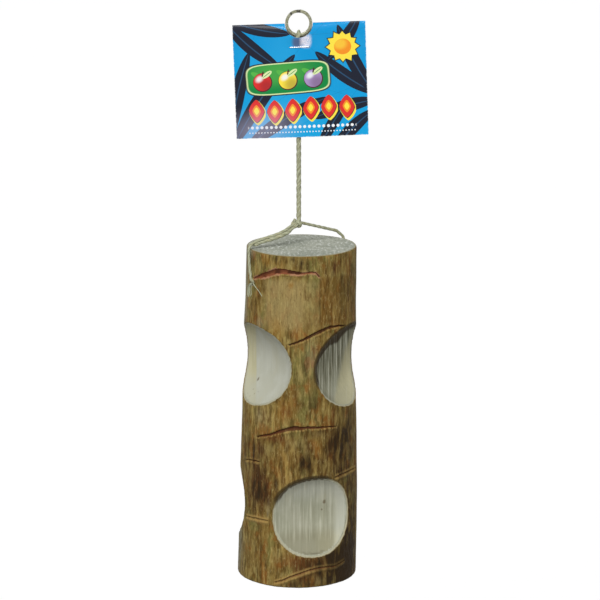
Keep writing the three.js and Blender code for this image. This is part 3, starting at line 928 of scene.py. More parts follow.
# Small knots: azimuth, drop and size
woodKnots = [
    (-81.8, 87.1, 1.4), (-78, 93, 0.7), (-70, 95, 0.6), (-84, 91, 0.5), (-66, 93.5, 0.5), (-73, 97, 0.5),
    (-80, 96, 0.45), (-62, 96.5, 0.45), (36.5, 163.6, 1.6), (34, 169, 1.0), (185, 80, 1.4), (-112, 172, 1.3),
    (146, 160, 1.2),
]
grindAt = []  # the grain lines run upright across each scoop
for v in coreMesh.vertices:
    azimuth, drop, radius = atLog(v.co)
    sunk = barkRadius(azimuth, drop) - radius
    pale, dim, lines, white, rim, mark = 0.0, 0.0, 0.0, 0.0, 0.0, 0.0
    ground = tuple(v.co)
    for k, scoop in enumerate(scoops):
        off = turnFrom(azimuth, scoop["azimuth"])
        if abs(drop - scoop["drop"]) > 30 or abs(off) > scoopTurn:
            continue
        u = radius * math.sin(math.radians(off))
        low = (drop - scoop["drop"]) / 26
        wander = 1.2 * wavy(drop * 0.05, scoop["azimuth"], 1)
        edge = 1.2 * wavy(azimuth * 0.25, drop * 0.12, 40)
        band, softness = (5.6 + 9 * smooth(-1.5 * low), 3.4) if k == rightScoop else (1.7, 1.4)
        # painted shadow along the rim on its shaded side
        rim = max(rim, rimShade(scoop, azimuth, drop) * smooth((band + edge - sunk) / softness + 0.5))
        if k == frontScoop:  # a dark line just inside its foot
            # a painted shadow line just inside the front scoop's foot
            line = 0.5 * bell((sunk - 2.4 - 0.4 * edge) / 0.7)
            rim = max(rim, line * smooth((low - 0.6) / 0.2) * smooth((9.5 - abs(u)) / 4))
        ground = (v.co.x if k in (leftScoop, rightScoop, frontScoop) else u * mm, 0.03 * k, v.co.z)
        if sunk < bark["thickness"] + 0.3:
            continue
        if k == leftScoop:
            # a cream strip on the left, partly a painted highlight
            pale = smooth((-26.6 - v.co.x / mm + 0.2 * wander) / 1.2) * (1 - 0.5 * smooth((low - 0.3) / 0.4))
            white = 0.6 * (1 - pale)
        elif k == rightScoop:
            # cream on the scoop's right side, partly a painted highlight where it is lit
            pale = smooth((v.co.x / mm - 31 + 0.3 * (drop - 59) + 1.6 * wander + 0.8 * edge) / 6)
            # painted shade to the left, at the top and at the foot
            dim = 0.4 * smooth((-u - 5) / 14) + 0.3 * smooth((-low - 0.5) / 0.4)
            dim = dim * (1 - 0.75 * pale) + 0.4 * smooth((low - 0.5) / 0.35)
            lines = 0.8 * (1 - pale) * (0.3 + 0.7 * smooth((0.7 - low) / 0.6))
            # painted highlight towards the foot
            white = 0.1 * smooth((low - 0.55) / 0.3)
        elif k == frontScoop:
            face = smooth((u - 14.5 + 5 * low * low + wander) / 5)
            pale = 0.5 * smooth((low - 0.2) / 0.5) * smooth((u + 4) / 12)
            # painted shade towards the foot, less on the right face
            dim = (0.35 * smooth((low + 0.5) / 0.5) + 0.75 * smooth((low - 0.25) / 0.5)) * (1 - 0.8 * face)
            lines = 0.12 * (1 - face) * smooth((0.75 - low) / 0.2)
            # painted highlight on the top and on the right face
            white = 0.45 * smooth((-low - 0.2) / 0.5) + 0.35 * face
        else:
            pale = 0.75 * smooth((u - 17 + 40 * low + 4 * wander + 4 * edge) / 18)
            lines = 0.3 * (1 - pale)
        for a, d, size in woodKnots:
            gap = math.hypot(math.radians(turnFrom(azimuth, a)) * radius, (drop - d) * 0.7)
            mark = max(mark, bell(gap / size))
    grindAt.extend(ground)
    for layer, value in zip(woodLayers.values(), (pale, dim, lines, white, rim, mark)):
        layer.append(value)
for key, values in woodLayers.items():
    paint(coreMesh, key, values)
grindLayer = coreMesh.attributes.new("grindAt", "FLOAT_VECTOR", "POINT")
grindLayer.data.foreach_set("vector", np.array(grindAt, np.float32))

# Stains on the bark: azimuth, drop, half width, half height, and how dark, red, pale, golden and grey; the greys along
# the log's left and right edges are a painted sheen
stains = [
    (36, 8.7, 5, 4.5, 0.5, 0.8), (46.8, 20, 3.5, 9, 0.55, 0.2), (38, 30, 12, 15, 0, 0.25),
    (68, 24, 14, 26, 0.15), (-10, 18.3, 3, 2.4, 0, 0.3, 0, 0.7), (-56, 39, 3.5, 7, 0, 0.5),
    (-16, 30, 14, 16, 0, 0, 0.5), (-25, 45, 9, 8, 0, 0, 0, 0.5), (0, 5.2, 5, 4, 0.6, 0.1),
    (-9.8, 1.2, 3, 2, 0.45, 0.1), (-36, 5, 12, 4, 0, 0, 0, 0.5), (24, 34, 4, 10, 0, 0.4, 0, 0.4),
    (15.6, 95, 4.5, 5, 0.95), (13.7, 86, 3, 7, 0.6, 0.1), (-15, 100.5, 8, 8, 0, 0.4, 0, 0.8),
    (56, 112, 18, 16, 0.6, 0.1), (37, 105, 3, 9, 0.3, 0.8), (-38, 105, 9, 8, 0, 0, 0.7),
    (-24, 118.5, 16, 2.5, 0.2, 0.8), (-41, 127, 6, 5, 0.4, 0.7), (-49.5, 131, 1.4, 10, 0.9, 0.2),
    (-46, 143, 9, 15, 0.6, 0.8), (-43, 157, 11, 10, 0.8, 0.6), (-64, 134, 8, 20, 0.45, 0.2),
    (7, 134, 6, 8, 1.5), (8.4, 124, 4, 5, 0.3, 0.5), (-14, 129, 9, 9, 0, 0.1, 0.3, 0.7),
    (21, 124, 6, 8, 0, 0.2, 0.1, 0.5), (25, 135, 6, 8, 0.5, 0.2), (-31, 126, 8, 9, 0.35, 0.1),
    (-13, 145, 8, 8, 0, 0, 0.5, 0.5), (49, 128, 14, 18, 0.75, 0.25), (34, 127, 6, 14, 0.4, 0.5),
    (64, 162, 17, 24, 0.75, 0.05), (-37, 190, 7, 10, 0.1, 0.35, 0, 0.3),
    (-46, 200, 14, 18, 0.25, 0, 0, 0.1), (0, 199, 22, 6, 0.15, 0.8, 0, 0.2),
    (12, 201.5, 12, 5.5, 0.35, 0.5), (55, 203, 24, 19, 2.7), (24, 205, 13, 8, 0.55, 0.4),
    (21.5, 212, 4, 3, 0, 0, 1.3), (32, 213, 4, 3, 0.6, 0.2), (-70, 30, 12, 30, 0, 0, 0.35),
    (-72, 112, 12, 14, 0.1, 0, 0.3), (110, 60, 24, 30, 0.4, 0.2), (170, 130, 20, 26, 0.45, 0.4, 0, 0.2),
    (-150, 40, 26, 24, 0, 0, 0.6, 0.2), (-160, 190, 24, 18, 0.5, 0.2), (100, 205, 18, 10, 0.3, 0.5),
    (-130, 110, 22, 20, 0.2, 0.4, 0, 0.3), (140, 95, 14, 12, 0, 0.2, 0, 0.6),
    # painted sheen: grey along the log's left and right edges
    (-80, 1.5, 18, 4.5, 0, 0, 0, 0, 1.3), (-85, 27, 12, 34, 0, 0, 0, 0, 1.0),
    (-82, 194, 14, 24, 0.45, 0, 0, 0, 0.85), (-30.6, 164, 1.5, 6, 0, 0, 1.2, 0, 0.9),
    (88, 20, 10, 26, 0, 0, 0, 0, 0.5), (12, 66, 9, 14, 0, 0, 0, 0, 0.35), (48, 122, 12, 10, 0.3, 0.2),
    (-4, 88, 6, 10, 0.25, 0.3, 0, 0.2), (5, 70, 4, 12, 0.3), (-12, 78, 5, 9, 0, 0, 0.3, 0.3),
    (-36, 155, 8, 10, 0.6, 0.9), (-22, 148, 5, 4, 0.6, 0.3), (-12, 127, 5, 5, 0.35, 0.2),
    (17, 114.6, 10, 3.4, 0.7, 0.4), (-4, 121, 6, 4, 0.3, 0.1), (33, 201, 9, 8, 0, 0.9),
    (6, 209, 9, 4.4, 0.5, 0.8), (-4, 214.5, 12, 3, 1.1, 0.3), (46, 205, 6, 6, 0.6),
    (-44, 104, 5, 5, 0, 0, 0.4, 0, 0.3), (14, 214.5, 5, 2, 0.6, 0.2), (35, 195, 5, 4, 0.5, 0.5),
    (46, 143.5, 6, 3, 0.6, 0.5), (-13, 101, 6, 4, 0.2, 0.5), (-47, 45, 6, 5, 0, 0, 0.3, 0, 0.4),
    (-5, 56, 5, 4, 0, 0, 0.4, 0.2), (12, 17, 4, 4, 0.3, 0.1),
]
stains += [(-30 + 3.7 * k, 2 + k % 3, 0.9, 2.6, 0.75, 0.1) for k in range(9)]
# Below the middle scar the skin is older and darker, down to these drops
oldTop = ([-180, -80, -47, -12, 10, 42, 90, 180], [119, 121, 120.2, 112.2, 110.8, 112.4, 116, 119])
oldFoot = ([-180, -62, -28, 0, 40, 180], [177, 174.7, 173.7, 192, 205, 177])
layers = {key: [] for key in (
    "darkStainAndShadow", "redStain", "paleSkin", "goldSkin", "greySkinAndSheen", "oldSkin", "peeled", "roughSkin", "paintedRimShadow",
    "scarRed", "scarLip", "scarPink", "scarShadow", "skinDepth",
)}
for v in barkMesh.vertices:
    azimuth, drop, radius = atLog(v.co)
    tones = [0.0] * 5
    fray = 0.45 * wavy(azimuth * 0.6, drop * 0.07, 8)
    for a, d, wide, tall, *amounts in stains:
        off = turnFrom(azimuth, a)
        if abs(off) < 2.5 * wide and abs(drop - d) < 2.5 * tall:
            amount = bell(math.hypot(off / wide, (drop - d) / tall) + fray)
            for k, share in enumerate(amounts):
                tones[k] += share * amount
    height, red, lip, pink, dark = scarAt(azimuth, drop)
    surface = barkRadius(azimuth, drop) + fibreRelief(azimuth, drop) + height + peelStep(azimuth, drop)
    edge = azimuth - seamAt(drop)
    right = smooth(edge / 0.7 + 0.5) * between(drop, 12, 4, 47, 5)
    right *= (0.65 + 0.35 * bell(edge / 5)) * smooth((85 - azimuth) / 25)
    top, foot = np.interp(azimuth, *oldTop), np.interp(azimuth, *oldFoot)
    old = smooth((drop - top - 0.2) / 1.4) * (1 - smooth((drop - foot + 4) / 8))
    panel = between(azimuth, -46, 12, 60, 30) * between(drop, 13, 5, 52, 10)
    tones[2] += 0.75 * panel * (1 - 0.45 * smooth((azimuth + 4) / 10))
    # painted shadow on the bark beside each scoop's rim
    rim = 0.0
    for scoop in scoops:
        side = rimShade(scoop, azimuth, drop)
        if side > 0:
            reach = v.co - scoop["hub"]
            gap = math.hypot(reach.dot(scoop["outward"]), reach.z) / mm - scoop["drum"]
            rim = max(rim, side * bell(max(0.0, gap - 0.5 + 0.5 * fray) / 0.65))
    # painted shadow of the peel step along the seam, laid in with the dark stains
    tones[0] += 0.8 * bell((edge - 0.3) / 0.8) * between(drop, 13, 3, 46, 6)
    tones[2] *= 1 - right
    rough = 1 - 0.7 * panel * (1 - right)
    values = (old, right, rough, rim, red, lip, pink, dark, max(0.0, surface - radius))
    for layer, value in zip(layers.values(), (*tones, *values)):
        layer.append(value)
for key, values in layers.items():
    paint(barkMesh, key, values)

# Bark finish: olive tan fibres with brown, red and dark streaks, red slits with pale lips
barkFinish, shader = newFinish("fibrousBark", {"Specular IOR Level": 0.1})
place = objectPlace()
fine = grain(place, 1050, 190, 1)
mid = grain(place, 330, 95, 5)
broad = grain(place, 95, 42, 9)
blotch = grain(place, 150, 85, 21)
strand = grain(place, 520, 95, 33)
speck = grain(place, 820, 420, 61)
mottle = grain(place, 430, 72, 71)
calm = spread(grain(place, 75, 50, 47), 0.4, 0.6, 0.25, 1)
rough = painted("roughSkin")
# where there is no dark stain or painted shadow
outsideStainAndShadow = mask("darkStainAndShadow", 0.3, 1.3, 1, 0.25)
color = blendColor(spread(mid, 0.36, 0.64), tint(106, 82, 35), tint(132, 111, 59))
color = layTones(color, [
    (spread(broad, 0.5, 0.64, 0, 0.75), (104, 100, 52)),
    (spread(blotch, 0.52, 0.66, 0, 0.7), (124, 76, 26)),
    (spread(blotch, 0.46, 0.34, 0, 0.5), (160, 144, 88)),
    (mask("paleSkin", 0, 1, 0, 0.7), (150, 132, 86)),
    (mask("goldSkin", 0, 1, 0, 0.7), (150, 107, 38)),
    # grey skin, and a painted sheen along the log's edges
    (mask("greySkinAndSheen", 0, 1, 0, 0.8), (146, 148, 126)),
    (over(painted("oldSkin"), spread(mid, 0.36, 0.62, 0.6, 0.15)), (70, 47, 17)),
    (mask("redStain", 0, 1, 0, 0.75), (92, 48, 20)),
    (mask("peeled", 0, 1, 0, 0.85), (106, 75, 29)),
    (over(spread(strand, 0.53, 0.66, 0, 0.75), over(calm, rough)), (84, 57, 22)),
    (spread(strand, 0.45, 0.33, 0, 0.35), (172, 150, 92)),
    (over(spread(mottle, 0.47, 0.34, 0, 0.62), rough), (66, 50, 18)),
    (over(spread(mottle, 0.54, 0.68, 0, 0.42), rough), (168, 144, 82)),
    (over(spread(fine, 0.45, 0.31, 0, 0.42), calm), (62, 43, 17)),
    (spread(fine, 0.58, 0.72, 0, 0.3), (186, 166, 112)),
    (spread(speck, 0.44, 0.3, 0, 0.32), (72, 50, 20)),
    (spread(speck, 0.58, 0.72, 0, 0.3), (182, 164, 110)),
    # dark stains, with the painted shadow of the peel step
    (over(painted("darkStainAndShadow"), spread(mid, 0.32, 0.62, 1.1, 0.5)), (42, 30, 13)),
    (over(mask("scarLip", 0.15, 0.9, 0, 0.66), outsideStainAndShadow), (160, 131, 76)),
    (mask("scarRed", 0.15, 0.6, 0, 0.92), (126, 70, 46)),
    (mask("scarPink", 0.1, 0.9, 0, 0.75), (168, 122, 95)),
    # painted shadow in the scar slits
    (mask("scarShadow", 0.15, 0.75, 0, 0.92), (54, 25, 9)),
])
depth = painted("skinDepth")
cutColor = blendColor(spread(depth, 0.35, 0.8), tint(120, 106, 72), tint(164, 160, 136))
color = blendColor(spread(depth, 0.22, 0.42), color, cutColor)
# painted shadow by the scoop rims
color = layTones(color, [(mask("paintedRimShadow", 0.05, 0.8, 0, 0.85), (50, 40, 21))])
feed(shader, {"Base Color": color, "Roughness": spread(fine, 0.3, 0.7, 0.85, 0.62)})
joinBump(shader, math2("ADD", fine, over(strand, 0.7)), 0.6, 0.7)
keepPiece("barkSkin", barkMesh, "log", "bark", [barkFinish], "bark")

# Wood finish along the grain
woodFinish, shader = newFinish("groundWood", {"Roughness": 0.76, "Specular IOR Level": 0.04})
place = objectPlace()
ground = painted("grindAt", "Vector")
fine = grain(ground, 1150, 34, 2)
mid = grain(ground, 400, 16, 14)
clouds = grain(place, 75, 60, 52)
broad = grain(place, 95, 16, 30)
streaky = painted("streaky")
lined = mask("bleachAndHighlight", 0, 0.7, 1, 0.3)
color = blendColor(spread(clouds, 0.36, 0.64), tint(166, 166, 148), tint(154, 155, 136))
color = layTones(color, [
    # creamy wood, partly a painted highlight on the scoops' lit sides
    (mask("creamAndHighlight", 0.1, 0.9, 0, 0.75), (184, 178, 142)),
    # bleached wood, and painted highlights on the scoops
    (over(painted("bleachAndHighlight"), spread(clouds, 0.38, 0.62, 0.45, 1)), (194, 195, 184)),
    (spread(broad, 0.52, 0.72, 0, 0.25), (178, 170, 138)),
    (over(spread(mid, 0.54, 0.68, 0, 0.14), lined), (142, 142, 120)),
    (over(spread(fine, 0.56, 0.7, 0, 0.32), lined), (128, 125, 102)),
    (over(spread(fine, 0.44, 0.32, 0, 0.4), lined), (196, 194, 176)),
    # painted shade in the scoops
    (mask("scoopShade", 0, 1, 0, 0.66), (122, 118, 94)),
    (over(streaky, 0.2), (128, 123, 93)),
    (over(streaky, spread(fine, 0.5, 0.6, 0, 0.85)), (80, 77, 50)),
    (over(streaky, spread(fine, 0.46, 0.36, 0, 0.9)), (226, 226, 204)),
    # painted shadow by the scoop rims
    (mask("paintedRimShadow", 0.05, 0.95, 0, 0.88), (50, 34, 12)),
    (mask("knotMark", 0.45, 0.9, 0, 0.75), (92, 78, 56)),
])
feed(shader, {"Base Color": color})
joinBump(shader, math2("ADD", fine, mid), 0.2, 0.4)

# Sawn end: mottled, with the scattered fibre dots of a pithy stem
endFinish, shader = newFinish("sawnEnd", {"Roughness": 0.85, "Specular IOR Level": 0.1})
place = objectPlace()
stretched = add("ShaderNodeVectorMath", {0: place, 1: (600, 170, 95)}, operation="MULTIPLY").outputs[0]
mottle = cloudy(stretched, 1.0, 3.0, 0.6)
clouds = cloudy(place, 45.0, 2.0)
dots = add("ShaderNodeTexVoronoi", {"Vector": place, "Scale": 480.0}).outputs["Distance"]
laid = add("ShaderNodeMapping", {"Vector": place, "Rotation": (0, math.radians(90), 0.5)}).outputs[0]
sawn = grain(laid, 900, 20, 6)
color = blendColor(spread(clouds, 0.4, 0.62), tint(154, 158, 145), tint(170, 173, 160))
color = layTones(color, [
    (spread(mottle, 0.52, 0.66, 0, 0.6), (214, 217, 210)),
    (spread(mottle, 0.46, 0.34, 0, 0.4), (116, 120, 109)),
    (spread(dots, 0.34, 0.14, 0, 0.5), (118, 116, 98)),
    (spread(sawn, 0.58, 0.7, 0, 0.3), (130, 130, 114)),
])
feed(shader, {"Base Color": color})
joinBump(shader, math2("ADD", mottle, sawn), 0.35, 0.5)
keepPiece("woodCore", coreMesh, "log", "wood", [woodFinish, endFinish], "wood_core")
print("log finished")

# Header card: one sheet folded over the line, closed at its sides
card = {
    "width": 83.5, "height": 72, "thickness": 0.4, "tilt": 2, "edgeGap": 0.5, "innerGap": 2.15, "flatHalf": 7,
    "fold": 6.4, "notch": 8.8, "bulge": 1.68, "bulgeWidth": 7, "columns": 110, "rows": 150, "curl": 0.8,
    "lineFrom": 7.55, "lineRate": 0.9, "ripple": 0.12, "sharp": 40,
}
ringCentre = Vector((0, 0, -6.6)) * mm
cardFrame = Matrix.Translation(ringCentre) @ Matrix.Rotation(math.radians(-card["tilt"]), 4, "Y")


def leafGap(x, drop):
    out = max(0, abs(x) - card["flatHalf"]) / (card["width"] / 2 - card["flatHalf"])
    flat = math.cos(min(out, 1) * math.pi / 2) ** 2
    below = max(0, card["lineRate"] * (drop - card["lineFrom"]))
    bulge = card["bulge"] * bell(x / card["bulgeWidth"]) * (1 - smooth(below / twine["gather"]))
    return card["edgeGap"] + (card["innerGap"] - card["edgeGap"]) * flat + bulge


bm = bmesh.new()
bmesh.ops.create_grid(bm, x_segments=card["columns"], y_segments=card["rows"], size=0.5)
for v in bm.verts:
    x = v.co.x * card["width"]
    side = -1 if v.co.y >= 0 else 1
    t = abs(v.co.y) * 2
    drop = card["height"] * (0.22 * t + 0.78 * t * t)  # rows lie closer by the fold
    arch = math.sqrt(1 - (1 - min(drop / card["fold"], 1)) ** 2)
    y = arch * (leafGap(x, drop) + card["thickness"])
    y += card["curl"] * (drop / card["height"]) ** 2 * (0.35 + 0.65 * (2 * x / card["width"]) ** 2)
    y += card["ripple"] * wavy(x * 0.05, drop * 0.05, side * 3) * smooth(drop / 12)
    v.co = Vector((x, side * y, -drop)) * mm
bmesh.ops.recalc_face_normals(bm, faces=bm.faces)
if max(bm.faces, key=lambda f: -f.calc_center_median().y).normal.y > 0:
    bmesh.ops.reverse_faces(bm, faces=bm.faces)
sheet = meshOf(bm, "cardSheet")
holder = linked("cardSheet", sheet)
wall = holder.modifiers.new("wall", "SOLIDIFY")
wall.thickness = card["thickness"] * mm
wall.offset = -1
wall.material_offset = 1
wall.material_offset_rim = 1
for k in range(2):
    sheet.materials.append(bpy.data.materials.new("cardHolder"))
walled = finalMesh(holder)


def roundCutter(radius, x, z, long, sides):
    bm = bmesh.new()
    bmesh.ops.create_cone(bm, cap_ends=True, segments=sides, radius1=radius, radius2=radius, depth=long)
    bmesh.ops.rotate(bm, verts=bm.verts, matrix=Matrix.Rotation(math.radians(90), 3, "X"))
    bmesh.ops.translate(bm, verts=bm.verts, vec=(x, 0, z))
    for face in bm.faces:
        face.material_index = 1
    return meshOf(bm, "roundCutter")


staple = {"crown": 12.7, "wire": 0.62, "clench": 2.6, "drop": 14.8, "hole": 0.45, "bend": 0.5, "step": 0.15,
          "sharp": 50}
legX = (staple["crown"] - staple["wire"]) / 2
cuts = [roundCutter(card["notch"] * mm, 0, 0, 0.05, 96)]
for side in (-1, 1):
    cuts.append(roundCutter(staple["hole"] * mm, side * legX * mm, -staple["drop"] * mm, 0.05, 16))
cardMesh = carve("headerCard", walled, cuts, "EXACT")
cardMesh.transform(cardFrame)
cardMesh = meshOf(opened(cardMesh), "headerCard", card["sharp"])

# Print shapes: a round or squarish patch, and a tapering leaf blade, in millimetres on the card


def turned(start):  # the place seen from the shape's own middle and turn
    dx = math2("SUBTRACT", start["X"], start["CentreX"])
    dy = math2("SUBTRACT", start["Y"], start["CentreY"])
    c = math2("COSINE", start["Turn"])
    s = math2("SINE", start["Turn"])
    a = math2("ADD", over(dx, c), over(dy, s))
    b = math2("SUBTRACT", over(dy, c), over(dx, s))
    return a, b


shapeInputs = floatInputs(X=0.0, Y=0.0, CentreX=0.0, CentreY=0.0, HalfWidth=10.0, HalfHeight=5.0,
                          Turn=0.0, Power=2.0, Soft=0.02)
patchGroup, pIn, pOut = newGroup("printPatch", shapeInputs, [("Mask", floatKind)])
shares = []
for value, half in zip(turned(pIn), ("HalfWidth", "HalfHeight")):
    share = math2("ABSOLUTE", math2("DIVIDE", value, pIn[half]))
    shares.append(math2("POWER", share, pIn["Power"]))
root = math2("DIVIDE", 1.0, pIn["Power"])
reach = math2("POWER", math2("ADD", *shares), root)
ramp = math2("DIVIDE", math2("SUBTRACT", 1.0, reach), pIn["Soft"])
patchGroup.links.new(spread(ramp, -1, 1), pOut["Mask"])

bladeInputs = floatInputs(X=0.0, Y=0.0, CentreX=0.0, CentreY=0.0, Turn=0.0, Length=40.0, HalfWidth=4.0,
                          Bend=0.0)
bladeGroup, bIn, bOut = newGroup("printBlade", bladeInputs, [("Mask", floatKind), ("Rib", floatKind)])
a, b = turned(bIn)
t = math2("DIVIDE", a, bIn["Length"])
middle = over(bIn["Bend"], over(t, t))
off = math2("ABSOLUTE", math2("SUBTRACT", b, middle))
inside = over(t, math2("SUBTRACT", 1.0, t))
inside = math2("POWER", math2("MAXIMUM", inside, 0.0), 0.6)
width = over(bIn["HalfWidth"], over(2.0, inside))
bladeGroup.links.new(spread(math2("SUBTRACT", off, width), 0.12, -0.12), bOut["Mask"])
rib = math2("SUBTRACT", off, over(width, 0.09))
bladeGroup.links.new(spread(rib, 0.12, -0.12), bOut["Rib"])

gloss = {"Specular IOR Level": 0.1, "Coat Weight": 0.14, "Coat Roughness": 0.07}
printFinish, shader = newFinish("glossPrint", gloss)
moved = add("ShaderNodeVectorMath", {0: objectPlace(), 1: tuple(-ringCentre)}, operation="ADD")
tilt = {"Vector": moved.outputs[0], "Angle": math.radians(card["tilt"])}
level = add("ShaderNodeVectorRotate", tilt, rotation_type="Y_AXIS").outputs[0]
parts = add("ShaderNodeSeparateXYZ", {0: level})
front = math2("LESS_THAN", parts.outputs[1], 0.0)
x = over(parts.outputs[0], 1000.0)
y = over(parts.outputs[2], -1000.0)
flow = cloudy(level, 30.0, 1.0)
rosette = cloudy(level, 1600.0, 1.0)
color = blendColor(spread(y, 0, 72), tint(0, 142, 204), tint(16, 156, 212))
color = layTones(color, [(spread(flow, 0.45, 0.7, 0, 0.3), (52, 170, 220))])
ink = {
    "dark": (22, 27, 42), "rib": (44, 82, 116), "green": (16, 128, 62), "leaf": (84, 172, 70),
    "pale": (214, 228, 168), "red": (214, 48, 44), "yellow": (244, 220, 70), "white": (236, 239, 240),
    "lilac": (166, 142, 190), "orange": (236, 142, 38), "shade": (70, 30, 40), "glossReflection": (188, 186, 214),
    "paintedShade": (86, 90, 122), "bulgeHighlight": (236, 231, 240), "rule": (170, 196, 212), "worn": (225, 232, 236),
}


def inkOver(color, amount, hue):
    return layTones(color, [(amount, ink[hue])])


def patch(cx, cy, halfWidth, halfHeight, turn=0.0, power=2.0, ax=None, ay=None, soft=0.02):
    return useGroup(patchGroup, {
        "X": x if ax is None else ax, "Y": y if ay is None else ay, "CentreX": cx, "CentreY": cy,
        "HalfWidth": halfWidth, "HalfHeight": halfHeight, "Turn": math.radians(turn), "Power": power,
        "Soft": soft})[0]


def repeated(value, step, count):  # the place within one step of a row that repeats
    start = math2("ADD", value, step * count)
    return math2("SUBTRACT", math2("FLOORED_MODULO", start, step), step / 2)


# Leaf blades: root, direction, length, half width and bend
blades = [
    (-46, 74, -82, 58, 5.2, 6), (-44, 77, -62, 70, 5.6, 9), (-36, 78, -40, 60, 5.2, 10),
    (47, 46, -152, 46, 5, 7), (47, 47, -126, 50, 5.2, 8), (47, 50, 174, 40, 5, -6),
    (46, 56, 146, 40, 4.8, -7), (-45, -3, 22, 40, 4.6, -6), (-46, -2, 52, 44, 5, -8),
    (38, -4, 118, 34, 4.6, 5), (10, 80, -64, 38, 4.2, 5),
]
for cx, cy, turn, long, halfWidth, bend in blades:
    shape = useGroup(bladeGroup, {
        "X": x, "Y": y, "CentreX": cx, "CentreY": cy, "Turn": math.radians(turn), "Length": long,
        "HalfWidth": halfWidth, "Bend": bend})
    color = inkOver(color, shape["Mask"], "dark")
    color = inkOver(color, over(shape["Rib"], 0.75), "rib")
backColor = color

# Sun with twelve rays
for size, hue in ((11.6, "dark"), (10.6, "yellow")):
    for turn in (0, 30, 60):
        color = inkOver(color, patch(27, 15.5, size, size * 0.92, turn, 0.9), hue)
for size, hue in ((6.6, "yellow"), (5.4, "orange")):
    color = inkOver(color, patch(27, 15.5, size, size * 0.92), hue)
color = inkOver(color, over(patch(25.4, 13.6, 4, 3.4, soft=0.5), 0.55), "yellow")

# Green panel with three fruits
panel = (-8, 34.2, 25.4, 9.2, -3, 5)
color = inkOver(color, patch(-8, 34.2, 27, 10.6, -3, 5), "dark")
color = inkOver(color, patch(-8, 34.2, 26.2, 9.9, -3, 5), "pale")
color = inkOver(color, patch(*panel), "green")
glow = over(patch(-14, 31, 18, 7, -3, 3, soft=0.6), patch(*panel))
color = inkOver(color, over(glow, 0.6), "leaf")
for cx, hue in ((-24, "red"), (-8, "yellow"), (8, "lilac")):
    cy = 35.4 - cx * 0.05
    body = patch(cx - 0.2, cy - 0.2, 5.6, 5.5)
    dim = patch(cx + 2.6, cy + 2.6, 4.6, 4.4, soft=0.7)
    shine = patch(cx - 2, cy - 2.2, 2.4, 1.7, -35, soft=0.6)
    for amount, tone in (
        (patch(cx - 3.4, cy - 4.4, 4.2, 1.6, 28), "leaf"),
        (patch(cx, cy, 6.1, 6.0), "shade"),
        (body, hue),
        (over(dim, over(body, 0.45)), "shade"),
        (over(shine, 0.85), "white"),
        (patch(cx + 2.8, cy - 4.9, 3.7, 1.5, -36), "pale"),
        (patch(cx + 2.8, cy - 4.9, 3.2, 0.22, -36), "green"),
        (patch(cx + 0.2, cy - 5.4, 0.45, 1.7, 12, 4), "shade"),
    ):
        color = inkOver(color, amount, tone)

# Row of lozenges, then beads and dots
row = repeated(x, 11.4, 20)
wave = math2("ADD", y, over(math2("SINE", over(x, 0.09)), 1.2))
band = patch(0.4, 54, 34.1, 30, 0, 40)
for cx, cy, halfWidth, halfHeight, hue in (
    (0.7, 55.1, 5.5, 8.0, "yellow"), (0.1, 54.2, 5.1, 7.5, "dark"), (0, 54, 4.8, 7.2, "red"),
    (0, 54, 2.6, 3.9, "orange"), (0, 54, 1.6, 2.4, "yellow"),
):
    color = inkOver(color, over(patch(cx, cy, halfWidth, halfHeight, 0, 1.35, row, wave), band), hue)
for step, half, at in ((3.0, 0.95, 65.3), (1.9, 0.42, 68.6)):
    beads = patch(0, at, half, half, ax=repeated(x, step, 100))
    color = inkOver(color, over(beads, patch(0, at, 34, 3, 0, 30)), "white")

# Painted reflection low on the left, and over the doubled twine a bulge with painted shade on its left and a painted
# highlight on its right
# painted reflection low on the left
color = inkOver(color, over(patch(-27, 67, 18, 10, -12, soft=0.9), 0.35), "glossReflection")
# Over the doubled twine: painted shade on the bulge's left and a broken painted highlight on its right
highlightBreakup = spread(rosette, 0.36, 0.6, 0.5, 1)
color = inkOver(color, over(patch(-1.2, 11.8, 3.2, 3.3, 0, 3, soft=0.4), 0.85), "paintedShade")
color = inkOver(color, over(patch(3.9, 11, 3.2, 3.9, 4, 3, soft=0.45), highlightBreakup), "bulgeHighlight")

# Plain back with a ruled panel, and worn edges all round
backColor = inkOver(backColor, patch(0, 42, 30, 20, 0, 6), "white")
ruled = over(patch(0, 0, 25, 0.55, 0, 8, ay=repeated(y, 5.0, 60)), patch(0, 42, 26, 13, 0, 12))
backColor = inkOver(backColor, ruled, "rule")
color = blendColor(front, backColor, color)
edgeWear = cloudy(level, 900.0, 2.0)
rimX = spread(math2("ABSOLUTE", x), 41.2, 41.75)
rimY = spread(y, 71.4, 72.0)
wear = over(math2("MAXIMUM", rimX, rimY), spread(edgeWear, 0.45, 0.62, 0, 0.7))
color = inkOver(color, wear, "worn")
feed(shader, {"Base Color": color, "Roughness": spread(flow, 0.3, 0.7, 0.3, 0.42)})
joinBump(shader, flow, 0.35, 0.3)

paperFinish, shader = newFinish("cardPaper", {"Roughness": 0.8})
fibres = cloudy(objectPlace(), 1400.0, 3.0)
color = blendColor(spread(fibres, 0.4, 0.62), tint(206, 204, 196), tint(232, 231, 226))
feed(shader, {"Base Color": color})
joinBump(shader, fibres, 0.06, 0.4)
keepPiece("headerCard", cardMesh, "card", "card", [printFinish, paperFinish], "header_card")
print("card printed")

